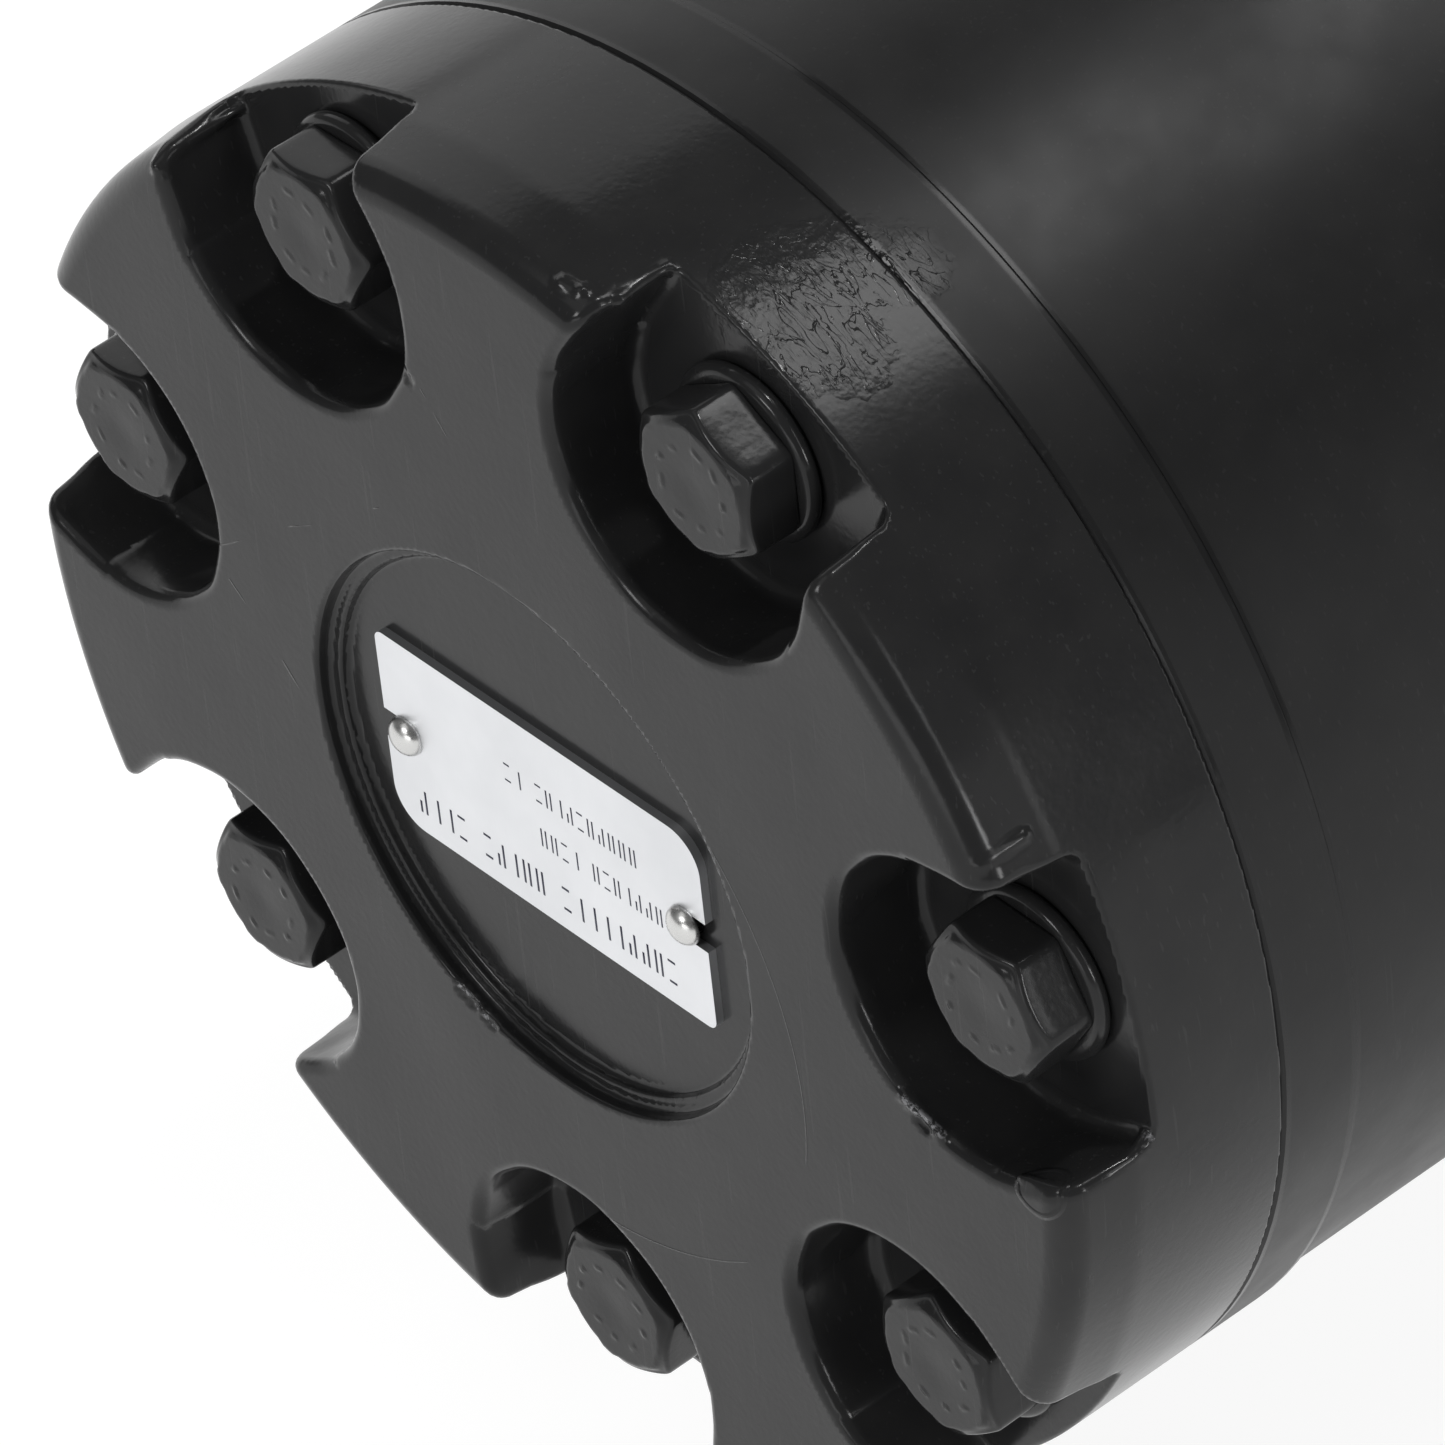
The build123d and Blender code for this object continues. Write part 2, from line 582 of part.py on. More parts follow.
# ---------------------------------------------------------------- shaft seals
with BuildPart() as shaft_seal:
    with BuildSketch(Plane.XY):
        with BuildLine():
            Polyline(
                (-12.2, 35.0), (-3.0, 35.0), (-3.0, 27.0), (-8.0, 25.05), (-9.2, 25.05),
                (-10.6, 27.4), (-9.6, 28.2), (-5.0, 29.0), (-4.6, 33.5), (-12.2, 33.5),
                close=True,
            )
        make_face()
    revolve(axis=Axis.X)
shaft_seal.part.label = "shaft_seal"
export_step(shaft_seal.part, "parts/shaft_seal.step")

with BuildPart() as seal_spring:
    with BuildSketch(Plane.XY):
        with Locations((-9.6, 29.1)):
            Circle(0.7)
    revolve(axis=Axis.X)
seal_spring.part.label = "seal_spring"
export_step(seal_spring.part, "parts/seal_spring.step")

with BuildPart() as seal_retaining_ring:
    with BuildSketch(Plane.YZ.offset(-13.8)):
        Circle(36.4)
        Circle(32.2, mode=Mode.SUBTRACT)
        with Locations((0, -34.0)):
            Rectangle(7.0, 8.0, mode=Mode.SUBTRACT)
    extrude(amount=1.5)
seal_retaining_ring.part.label = "seal_retaining_ring"
export_step(seal_retaining_ring.part, "parts/seal_retaining_ring.step")

with BuildPart() as dust_seal:
    with BuildSketch(Plane.XY):
        with BuildLine():
            Polyline(
                (3.0, 32.0), (7.6, 32.0), (7.6, 27.2), (9.2, 25.05), (8.4, 25.05),
                (6.2, 26.4), (3.0, 26.4), close=True,
            )
        make_face()
    revolve(axis=Axis.X)
dust_seal.part.label = "dust_seal"
export_step(dust_seal.part, "parts/dust_seal.step")

# ---------------------------------------------------------------- bearings
# Two tapered roller bearings, back to back. Every cone of a bearing has its
# point on the main axis. side is +1 where the race opens towards +X.
BR_REACH = BR_PITCH / sin(BR_ANGLE)
BR_DELTA = atan(BR_ROLLER / BR_REACH)


def race_radius(x_mid, side, x, angle, gap):
    apex = x_mid - side * BR_PITCH / tan(BR_ANGLE)
    return abs(x - apex) * tan(angle) + gap


def cup_profile(x_mid, side):
    back, front = x_mid - side * 9.0, x_mid + side * 7.0
    a = BR_ANGLE + BR_DELTA
    return [
        (back, race_radius(x_mid, side, back, a, 0.03)),
        (front, race_radius(x_mid, side, front, a, 0.03)),
        (front, BR_OD), (back, BR_OD),
    ]


def cone_profile(x_mid, side):
    a = BR_ANGLE - BR_DELTA
    pts = [(x_mid - side * 8.0, BR_BORE)]
    for dx, rise in ((-8.0, 1.3), (-6.6, 1.3), (-6.6, 0.0), (6.6, 0.0), (6.6, 2.4), (9.0, 2.4)):
        x = x_mid + side * dx
        pts.append((x, race_radius(x_mid, side, x, a, -0.03) + rise))
    pts.append((x_mid + side * 9.0, BR_BORE))
    return pts


def roller_profile(x_mid, side, extra, longer):
    """Half section of a roller in the X-Y plane, and its axis."""
    ux, uy = side * cos(BR_ANGLE), sin(BR_ANGLE)
    nx, ny = -side * sin(BR_ANGLE), cos(BR_ANGLE)
    h = BR_HALF + longer
    ra = (BR_REACH - h) * tan(BR_DELTA) + extra
    rb = (BR_REACH + h) * tan(BR_DELTA) + extra
    ax, ay = x_mid - h * ux, BR_PITCH - h * uy
    bx, by = x_mid + h * ux, BR_PITCH + h * uy
    pts = [(ax, ay), (ax + ra * nx, ay + ra * ny), (bx + rb * nx, by + rb * ny), (bx, by)]
    return pts, Axis((ax, ay, 0), (ux, uy, 0))


def cage_profile(x_mid, side):
    t = tan(BR_ANGLE)
    return [
        (x_mid - side * 7.4, BR_PITCH - 7.4 * t - 0.2), (x_mid + side * 7.4, BR_PITCH + 7.4 * t - 0.2),
        (x_mid + side * 7.4, BR_PITCH + 7.4 * t + 0.9), (x_mid - side * 7.4, BR_PITCH - 7.4 * t + 0.9),
    ]


for place, x_mid, side in (("front", X_BR_FRONT, 1), ("rear", X_BR_REAR, -1)):
    with BuildPart() as bearing_cup:
        with BuildSketch(Plane.XY):
            with BuildLine():
                Polyline(*cup_profile(x_mid, side), close=True)
            make_face()
        revolve(axis=Axis.X)
    bearing_cup.part.label = f"{place}_bearing_cup"
    export_step(bearing_cup.part, f"parts/{place}_bearing_cup.step")

    with BuildPart() as bearing_cone:
        with BuildSketch(Plane.XY):
            with BuildLine():
                Polyline(*cone_profile(x_mid, side), close=True)
            make_face()
        revolve(axis=Axis.X)
    bearing_cone.part.label = f"{place}_bearing_cone"
    export_step(bearing_cone.part, f"parts/{place}_bearing_cone.step")

    roller_pts, roller_axis = roller_profile(x_mid, side, 0.0, 0.0)
    with BuildPart(mode=Mode.PRIVATE) as one_roller:
        with BuildSketch(Plane.XY):
            with BuildLine():
                Polyline(*roller_pts, close=True)
            make_face()
        revolve(axis=roller_axis)
    with BuildPart() as bearing_rollers:
        for k in range(BR_N):
            add(one_roller.part.rotate(Axis.X, 360.0 / BR_N * k))
    bearing_rollers.part.label = f"{place}_bearing_rollers"
    export_step(bearing_rollers.part, f"parts/{place}_bearing_rollers.step")

    window_pts, window_axis = roller_profile(x_mid, side, 0.12, 0.25)
    with BuildPart(mode=Mode.PRIVATE) as one_window:
        with BuildSketch(Plane.XY):
            with BuildLine():
                Polyline(*window_pts, close=True)
            make_face()
        revolve(axis=window_axis)
    with BuildPart() as bearing_cage:
        with BuildSketch(Plane.XY):
            with BuildLine():
                Polyline(*cage_profile(x_mid, side), close=True)
            make_face()
        revolve(axis=Axis.X)
        for k in range(BR_N):
            add(one_window.part.rotate(Axis.X, 360.0 / BR_N * k), mode=Mode.SUBTRACT)
    bearing_cage.part.label = f"{place}_bearing_cage"
    export_step(bearing_cage.part, f"parts/{place}_bearing_cage.step")

# nut that sets the bearings, with four spanner slots
with BuildPart() as bearing_nut:
    with BuildSketch(Plane.YZ.offset(-97.0)):
        Circle(32.0)
        Circle(BR_BORE, mode=Mode.SUBTRACT)
        with PolarLocations(32.0, 4, start_angle=45.0):
            Rectangle(6.0, 6.0, mode=Mode.SUBTRACT)
    extrude(amount=7.0)
bearing_nut.part.label = "bearing_nut"
export_step(bearing_nut.part, "parts/bearing_nut.step")

# ---------------------------------------------------------------- output shaft
SHAFT_END = 70.0
SPLINE_TEETH = 17
with BuildPart() as output_shaft:
    with BuildSketch(Plane.XY):
        with BuildLine():
            Polyline(
                (-97.5, 0), (-97.5, 21.7), (-96.7, BR_BORE), (-26.0, BR_BORE), (-26.0, 25.0),
                (13.2, 25.0), (14.0, 24.2), (14.0, 19.6), (21.0, 19.6), (23.4, 17.2),
                (SHAFT_END - 1.6, 17.2), (SHAFT_END, 15.6), (SHAFT_END, 0), close=True,
            )
        make_face()
    revolve(axis=Axis.X)
    # teeth of the output spline
    with BuildSketch(Plane.YZ.offset(20.0)):
        Circle(17.0)
        with PolarLocations(0, SPLINE_TEETH):
            Polygon((15.0, -2.1), (17.2, -2.1), (19.0, -1.2), (19.0, 1.2), (17.2, 2.1), (15.0, 2.1),
                    align=None)
    extrude(amount=SHAFT_END - 22.0)
    # tapped centre hole
    with BuildSketch(Plane.YZ.offset(SHAFT_END)):
        Circle(5.1)
    extrude(amount=-28.0, mode=Mode.SUBTRACT)
    # hollow rear end with the internal spline of the drive link
    with BuildSketch(Plane.XY):
        with BuildLine():
            Polyline((-97.5, 0), (-97.5, 17.0), (-62.0, 17.0), (-62.0, 12.9), (-46.0, 12.9),
                     (-46.0, 15.4), (-42.0, 15.4), (-40.0, 13.4), (-40.0, 0), close=True)
        make_face()
    revolve(axis=Axis.X, mode=Mode.SUBTRACT)
    with BuildSketch(Plane.YZ.offset(-63.0)):
        with PolarLocations(0, SP_N):
            Rectangle(SP_TIP + SP_C, SP_W + 2 * SP_C, align=(Align.MIN, Align.CENTER))
    extrude(amount=19.0, mode=Mode.SUBTRACT)
output_shaft.part.label = "output_shaft"
export_step(output_shaft.part, "parts/output_shaft.step")

# ---------------------------------------------------------------- drive links
link_plane = tilted_plane((X_LINK_FRONT, 0, 0), (X_LINK_REAR, RT_E, 0))
link_length = hypot(X_LINK_REAR - X_LINK_FRONT, RT_E)
with BuildPart() as drive_link:
    for centre in (0.0, link_length):
        with BuildSketch(link_plane.offset(centre - 6.0)):
            Circle(SP_ROOT)
            with PolarLocations(0, SP_N):
                Rectangle(SP_TIP, SP_W, align=(Align.MIN, Align.CENTER))
        extrude(amount=12.0)
    with BuildSketch(link_plane.offset(-5.0)):
        Circle(10.5)
    extrude(amount=link_length + 10.0)
    with BuildSketch(link_plane.offset(-7.2)):
        Circle(9.0)
    extrude(amount=link_length + 14.4)
drive_link.part.label = "drive_link"
export_step(drive_link.part, "parts/drive_link.step")

with BuildPart() as drive_spacer:
    with BuildSketch(Plane.YZ.offset(-137.2)):
        Circle(8.5)
    extrude(amount=2.6)
    chamfer(drive_spacer.edges().filter_by(GeomType.CIRCLE), 0.4)
drive_spacer.part.label = "drive_spacer"
export_step(drive_spacer.part, "parts/drive_spacer.step")

vlink_plane = tilted_plane((X_VLINK_FRONT, RT_E, 0), (X_VLINK_REAR, 0, 0))
vlink_length = hypot(X_VLINK_REAR - X_VLINK_FRONT, RT_E)
with BuildPart() as valve_drive_link:
    with BuildSketch(vlink_plane.offset(-3.0)):
        Circle(12.0)
        with PolarLocations(0, SP_N):
            Rectangle(14.3, 2.8, align=(Align.MIN, Align.CENTER))
    extrude(amount=6.0)
    with BuildSketch(vlink_plane.offset(vlink_length - 3.0)):
        Circle(7.9)
        with PolarLocations(0, SP_N):
            Rectangle(9.6, 2.0, align=(Align.MIN, Align.CENTER))
    extrude(amount=6.0)
    with BuildSketch(vlink_plane.offset(0.0)):
        Circle(7.9)
    extrude(amount=vlink_length)
valve_drive_link.part.label = "valve_drive_link"
export_step(valve_drive_link.part, "parts/valve_drive_link.step")

# ---------------------------------------------------------------- disc valve
with BuildPart() as disc_valve:
    with BuildSketch(Plane.YZ.offset(X_VALVE - 0.04)):
        Circle(35.5)
        Circle(8.6, mode=Mode.SUBTRACT)
        with PolarLocations(0, SP_N):
            Rectangle(10.4, 3.3, align=(Align.MIN, Align.CENTER), mode=Mode.SUBTRACT)
    extrude(amount=-7.5)
    # six slots from the outer chamber and six holes from the inner one
    with BuildSketch(Plane.YZ.offset(X_VALVE - 0.04)):
        with PolarLocations(36.0, 6, start_angle=15.0):
            Rectangle(12.0, 5.4)
        with PolarLocations(31.5, 6, start_angle=45.0):
            Circle(2.7)
    extrude(amount=-4.0, mode=Mode.SUBTRACT)
    with BuildSketch(Plane.YZ.offset(X_VALVE - 0.04)):
        with PolarLocations(31.5, 6, start_angle=45.0):
            Circle(1.8)
    extrude(amount=-7.5, mode=Mode.SUBTRACT)
    # passages from the holes to the middle of the disc
    with BuildSketch(Plane.YZ.offset(X_VALVE - 7.54)):
        with PolarLocations(22.0, 6, start_angle=45.0):
            Rectangle(18.0, 3.0)
    extrude(amount=2.0, mode=Mode.SUBTRACT)
disc_valve.part.label = "disc_valve"
export_step(disc_valve.part, "parts/disc_valve.step")

with BuildPart() as balance_ring:
    with BuildSketch(Plane.XY):
        with BuildLine():
            Polyline(
                (-182.3, 17.0), (-182.3, 27.05), (-181.6, 27.05), (-181.6, 25.6),
                (-180.0, 25.6), (-180.0, 27.05), (-177.9, 27.05), (-177.9, 17.0),
                close=True,
            )
        make_face()
    revolve(axis=Axis.X)
balance_ring.part.label = "balance_ring"
export_step(balance_ring.part, "parts/balance_ring.step")

with BuildPart() as balance_ring_seal:
    with BuildSketch(Plane.XY):
        with Locations((-180.8, 26.35)):
            Circle(0.7)
    revolve(axis=Axis.X)
balance_ring_seal.part.label = "balance_ring_seal"
export_step(balance_ring_seal.part, "parts/balance_ring_seal.step")

with BuildPart() as disc_spring:
    with BuildSketch(Plane.XY):
        with BuildLine():
            Polyline((-183.3, 18.5), (-182.8, 18.5), (-182.3, 25.0), (-182.8, 25.0), close=True)
        make_face()
    revolve(axis=Axis.X)
disc_spring.part.label = "disc_spring"
export_step(disc_spring.part, "parts/disc_spring.step")
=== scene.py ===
import math

import bmesh
import bpy
import numpy as np
from mathutils import Matrix, Vector


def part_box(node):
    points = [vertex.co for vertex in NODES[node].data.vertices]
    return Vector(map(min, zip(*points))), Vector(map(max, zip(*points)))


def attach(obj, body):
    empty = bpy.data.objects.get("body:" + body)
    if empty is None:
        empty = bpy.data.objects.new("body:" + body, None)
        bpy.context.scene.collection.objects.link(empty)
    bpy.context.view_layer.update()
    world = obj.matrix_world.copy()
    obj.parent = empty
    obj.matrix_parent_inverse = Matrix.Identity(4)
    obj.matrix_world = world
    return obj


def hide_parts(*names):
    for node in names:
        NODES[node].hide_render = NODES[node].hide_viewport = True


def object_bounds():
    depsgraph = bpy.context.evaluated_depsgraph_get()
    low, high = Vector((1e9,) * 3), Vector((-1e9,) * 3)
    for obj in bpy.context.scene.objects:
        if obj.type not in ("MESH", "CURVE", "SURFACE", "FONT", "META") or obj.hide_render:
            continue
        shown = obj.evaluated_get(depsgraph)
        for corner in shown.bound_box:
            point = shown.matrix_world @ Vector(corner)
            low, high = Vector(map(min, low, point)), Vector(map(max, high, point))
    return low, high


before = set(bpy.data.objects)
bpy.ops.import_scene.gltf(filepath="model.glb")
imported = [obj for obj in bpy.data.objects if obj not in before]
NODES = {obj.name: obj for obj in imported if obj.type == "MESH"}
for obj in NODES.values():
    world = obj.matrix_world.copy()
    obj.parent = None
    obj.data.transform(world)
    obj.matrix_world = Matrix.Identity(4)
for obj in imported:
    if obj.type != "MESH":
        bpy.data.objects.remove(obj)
cad_lo, cad_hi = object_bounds()
scene = bpy.context.scene
MM = 0.001

# ------------------------------------------------------------------ camera
# rows of r_local: right, down and forward of the camera, seen in a frame whose
# third axis is the motor's axis, with the unit U and its origin on that axis
X_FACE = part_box("end_cover")[0][0]
U = 0.05375
r_local = np.array([
    [-0.36527429, 0.56196035, 0.74214235],
    [-0.87293828, 0.07014045, -0.48276192],
    [-0.32334726, -0.82418498, 0.46493620],
])
t_local = np.array([-0.25669761, 0.15286396, 19.56778999])
axes = np.array([[0.0, 0.43388, 0.90097], [0.0, -0.90097, 0.43388], [1.0, 0.0, 0.0]])
cam_axes = r_local @ axes
cam_pos = np.array([X_FACE + 0.0447 * U, 0.0, 0.0]) + U * (-(r_local.T @ t_local) @ axes)
cam_data = bpy.data.cameras.new("camera")
cam = bpy.data.objects.new("camera", cam_data)
scene.collection.objects.link(cam)
m = Matrix.Identity(4)
for i in range(3):
    m[i][0], m[i][1], m[i][2], m[i][3] = cam_axes[0][i], -cam_axes[1][i], -cam_axes[2][i], cam_pos[i]
cam.matrix_world = m
cam_data.sensor_width = 36.0
cam_data.lens = 36.0 * 13000.0 / 1445.0
cam_data.clip_start, cam_data.clip_end = 0.05, 20.0
scene.camera = cam

# ------------------------------------------------------------------ small helpers


def new_object(name, mesh):
    o = bpy.data.objects.new(name, mesh)
    scene.collection.objects.link(o)
    return o


class Nodes:
    """A little helper that adds and links shader nodes."""

    def __init__(self, tree):
        self.t = tree

    def add(self, kind, **values):
        n = self.t.nodes.new(kind)
        for k, v in values.items():
            setattr(n, k, v)
        return n

    def link(self, a, b):
        self.t.links.new(a, b)

    def math(self, op, a, b=None, clamp=False):
        n = self.t.nodes.new("ShaderNodeMath")
        n.operation = op
        n.use_clamp = clamp
        for i, v in enumerate((a, b)):
            if v is None:
                continue
            if isinstance(v, (int, float)):
                n.inputs[i].default_value = v
            else:
                self.t.links.new(v, n.inputs[i])
        return n.outputs[0]

    def ramp(self, fac, stops):
        n = self.t.nodes.new("ShaderNodeMapRange")
        n.clamp = True
        (a, b), (c, d) = stops
        n.inputs["From Min"].default_value = a
        n.inputs["From Max"].default_value = b
        n.inputs["To Min"].default_value = c
        n.inputs["To Max"].default_value = d
        self.t.links.new(fac, n.inputs["Value"])
        return n.outputs["Result"]

    def noise(self, coord, scale, detail=2.0, rough=0.5, distort=0.0):
        n = self.t.nodes.new("ShaderNodeTexNoise")
        n.inputs["Scale"].default_value = scale
        n.inputs["Detail"].default_value = detail
        n.inputs["Roughness"].default_value = rough
        n.inputs["Distortion"].default_value = distort
        self.t.links.new(coord, n.inputs["Vector"])
        return n.outputs["Fac"]

    def mapping(self, coord, scale=(1, 1, 1), rotation=(0, 0, 0)):
        n = self.t.nodes.new("ShaderNodeMapping")
        n.inputs["Scale"].default_value = scale
        n.inputs["Rotation"].default_value = rotation
        self.t.links.new(coord, n.inputs["Vector"])
        return n.outputs["Vector"]

    def distance(self, coord, point):
        n = self.t.nodes.new("ShaderNodeVectorMath")
        n.operation = "DISTANCE"
        n.inputs[1].default_value = point
        self.t.links.new(coord, n.inputs[0])
        return n.outputs["Value"]

    def mix(self, fac, a, b):
        n = self.t.nodes.new("ShaderNodeMix")
        n.data_type = "RGBA"
        for socket, v in ((n.inputs[6], a), (n.inputs[7], b)):
            if isinstance(v, tuple):
                socket.default_value = v
            else:
                self.t.links.new(v, socket)
        if isinstance(fac, (int, float)):
            n.inputs[0].default_value = fac
        else:
            self.t.links.new(fac, n.inputs[0])
        return n.outputs[2]

    def bump(self, height, strength, distance, normal=None):
        n = self.t.nodes.new("ShaderNodeBump")
        n.inputs["Strength"].default_value = strength
        n.inputs["Distance"].default_value = distance
        self.t.links.new(height, n.inputs["Height"])
        if normal is not None:
            self.t.links.new(normal, n.inputs["Normal"])
        return n.outputs["Normal"]


def material(name):
    m = bpy.data.materials.new(name)
    m.use_nodes = True
    t = m.node_tree
    t.nodes.clear()
    k = Nodes(t)
    out = k.add("ShaderNodeOutputMaterial")
    p = k.add("ShaderNodeBsdfPrincipled")
    k.link(p.outputs[0], out.inputs[0])
    coord = k.add("ShaderNodeTexCoord").outputs["Object"]
    return m, k, p, coord


# ------------------------------------------------------------------ shapes from distance fields
# Points are (d, y, z) in millimetres: d is the depth below the cover's face.
FACE_MM = X_FACE * 1000.0
RNG = np.random.default_rng(7)


def cut_round(a, b, k):
    """The overlap of two solids, with its edge rounded to radius k."""
    u = np.maximum(a + k, 0.0)
    v = np.maximum(b + k, 0.0)
    return np.minimum(np.maximum(a, b), -k) + np.sqrt(u * u + v * v)


def join_smooth(a, b, k):
    h = np.maximum(k - np.abs(a - b), 0.0) / k
    return np.minimum(a, b) - h * h * k * 0.25


def capsule(d, y, z, a, b, radius):
    a, b = np.array(a, float), np.array(b, float)
    ab = b - a
    t = ((d - a[0]) * ab[0] + (y - a[1]) * ab[1] + (z - a[2]) * ab[2]) / (ab @ ab)
    t = np.clip(t, 0.0, 1.0)
    return np.sqrt((d - a[0] - t * ab[0]) ** 2 + (y - a[1] - t * ab[1]) ** 2 + (z - a[2] - t * ab[2]) ** 2) - radius


def waves(seed, count, longest, shortest):
    g = np.random.default_rng(seed)
    out = []
    for _ in range(count):
        v = g.normal(size=3)
        v *= 2 * math.pi / math.exp(g.uniform(math.log(shortest), math.log(longest))) / np.linalg.norm(v)
        out.append((v[0], v[1], v[2], g.uniform(0, 2 * math.pi)))
    return out


def ripple(d, y, z, table):
    total = np.zeros_like(d)
    for a, b, c, ph in table:
        total += np.sin(a * d + b * y + c * z + ph)
    return total / math.sqrt(len(table))


LUMPS = waves(3, 9, 45.0, 16.0)
GRAIN = waves(4, 12, 9.0, 4.0)


# runs of thick paint along the ears of two pockets, a blister beside a third, and nicks in the mouths
RIDGES = [
    ((1.9, -10.6, 62.3), (2.9, -13.7, 61.3), 0.42), ((2.9, -13.7, 61.3), (4.4, -14.5, 61.3), 0.36),
    ((4.4, -14.6, 61.4), (9.0, -14.9, 61.9), 0.30), ((2.4, -12.4, 62.2), (3.2, -12.9, 60.2), 0.35),
    ((0.6, 39.4, 48.1), (2.6, 39.3, 48.6), 0.45), ((2.6, 39.3, 48.6), (8.8, 38.4, 49.6), 0.28),
    ((0.7, -57.6, -1.4), (1.2, -61.6, -0.6), 0.30), ((8.9, -63.2, 1.0), (7.6, -63.3, 0.2), 0.32),
    ((0.4, -44.6, -0.7), (0.5, -46.2, -1.4), 0.33), ((0.5, -46.9, -1.9), (0.55, -48.6, -2.3), 0.38),
    ((5.3, -56.2, 30.3), (1.4, -55.4, 29.5), 0.30),
]
NICKS = [
    ((-0.2, -46.4, -2.1), (-0.1, -47.2, -2.4), 0.50), ((-0.25, 12.3, -23.9), (-0.2, 10.6, -24.6), 0.42),
    ((-0.25, 9.2, -25.1), (-0.2, 8.2, -25.6), 0.36), ((-0.3, 9.0, 43.9), (-0.3, 8.4, 43.3), 0.45),
]


def cover_field(d, y, z):
    d = d.astype(np.float64)
    r = np.hypot(y, z)
    side = -join_smooth(-(r - 63.2 - 0.8 * d / 7.3) * 0.994, 64.0 - r, 0.08)
    body = cut_round(-d, side, 2.6)
    body = cut_round(body, d - 23.0, 0.4)
    body += 0.030 * ripple(d, y, z, LUMPS) * np.clip((12.0 - d) / 6.0, 0.0, 1.0)
    pockets = np.full_like(d, 99.0)
    for k in range(7):
        ang = math.radians(90.0 / 7.0 + k * 360.0 / 7.0)
        ca, sa = math.cos(ang), math.sin(ang)
        a = y * ca + z * sa - 53.75
        b = -y * sa + z * ca
        wobble = 0.12 * math.sin(2.3 * k + 0.5)
        plan = join_smooth(
            np.hypot(a, b - 0.1 * wobble) - (14.3 + wobble), np.maximum(np.abs(b) - 13.7 - wobble, -a), 1.6
        )
        plan += 0.03 * (d - 2.0) * 0.6
        pockets = np.minimum(pockets, plan)
    pockets += 0.05 * ripple(d, y, z, GRAIN)
    pocket = cut_round(pockets, d - 9.3, 1.4)
    mouth = 1.15 - 0.75 * np.clip((d - 4.5) / 4.0, 0.0, 1.0)
    f = cut_round(body, -pocket, mouth)
    for a, b, radius in RIDGES:
        f = join_smooth(f, capsule(d, y, z, a, b, radius), 0.7)
    for a, b, radius in NICKS:
        f = -join_smooth(-f, capsule(d, y, z, a, b, radius), 0.5)
    f = cut_round(f, -cut_round(r - 26.3, d - 1.5, 0.45), 0.45)
    f = cut_round(f, -cut_round(r - 25.0, d - 2.4, 0.5), 0.35)
    # bolt holes, valve chamber, bore behind it, seal groove, passages
    for k in range(7):
        ang = math.radians(90.0 / 7.0 + k * 360.0 / 7.0)
        f = np.maximum(f, 4.5 - np.hypot(y - 53.75 * math.cos(ang), z - 53.75 * math.sin(ang)))
    f = np.maximum(f, -np.maximum(r - 38.5, 14.0 - d))
    f = np.maximum(f, -np.maximum(r - 27.1, 10.0 - d))
    f = np.maximum(f, -np.maximum(np.abs(r - 60.4) - 1.0, 21.5 - d))
    for psi in (90.0 + 720.0 / 7.0, 90.0 - 720.0 / 7.0):
        c, s = 54.5 * math.cos(math.radians(psi)), 54.5 * math.sin(math.radians(psi))
        f = np.maximum(f, -np.maximum(np.hypot(y - c, z - s) - 2.0, 19.0 - d))
    c, s = 54.5 * math.cos(math.radians(75.0)), 54.5 * math.sin(math.radians(75.0))
    f = np.maximum(f, -np.maximum(np.hypot(y - c, z - s) - 3.0, 17.0 - d))
    f = np.maximum(f, -capsule(d, y, z, (19.5, c, s), (18.0, c * 0.66, s * 0.66), 2.2))
    f = np.maximum(f, -np.maximum(np.hypot(y, z - 54.5) - 2.0, 6.0 - d))
    f = np.maximum(f, -capsule(d, y, z, (6.0, 0, 54.5), (6.0, 0, 14.0), 2.0))
    f = np.maximum(f, -capsule(d, y, z, (6.0, 0, 14.0), (12.0, 0, 14.0), 2.0))
    for s in (17.1, -17.1):
        f = np.maximum(f, -np.maximum(np.hypot(y - s, z) - 1.2, d - 5.4))
    return f


def gradient(field, p, h=0.02):
    g = np.empty_like(p)
    for i in range(3):
        q = p.copy()
        q[:, i] += h
        w = p.copy()
        w[:, i] -= h
        g[:, i] = (field(q[:, 0], q[:, 1], q[:, 2]) - field(w[:, 0], w[:, 1], w[:, 2])) / (2 * h)
    return g


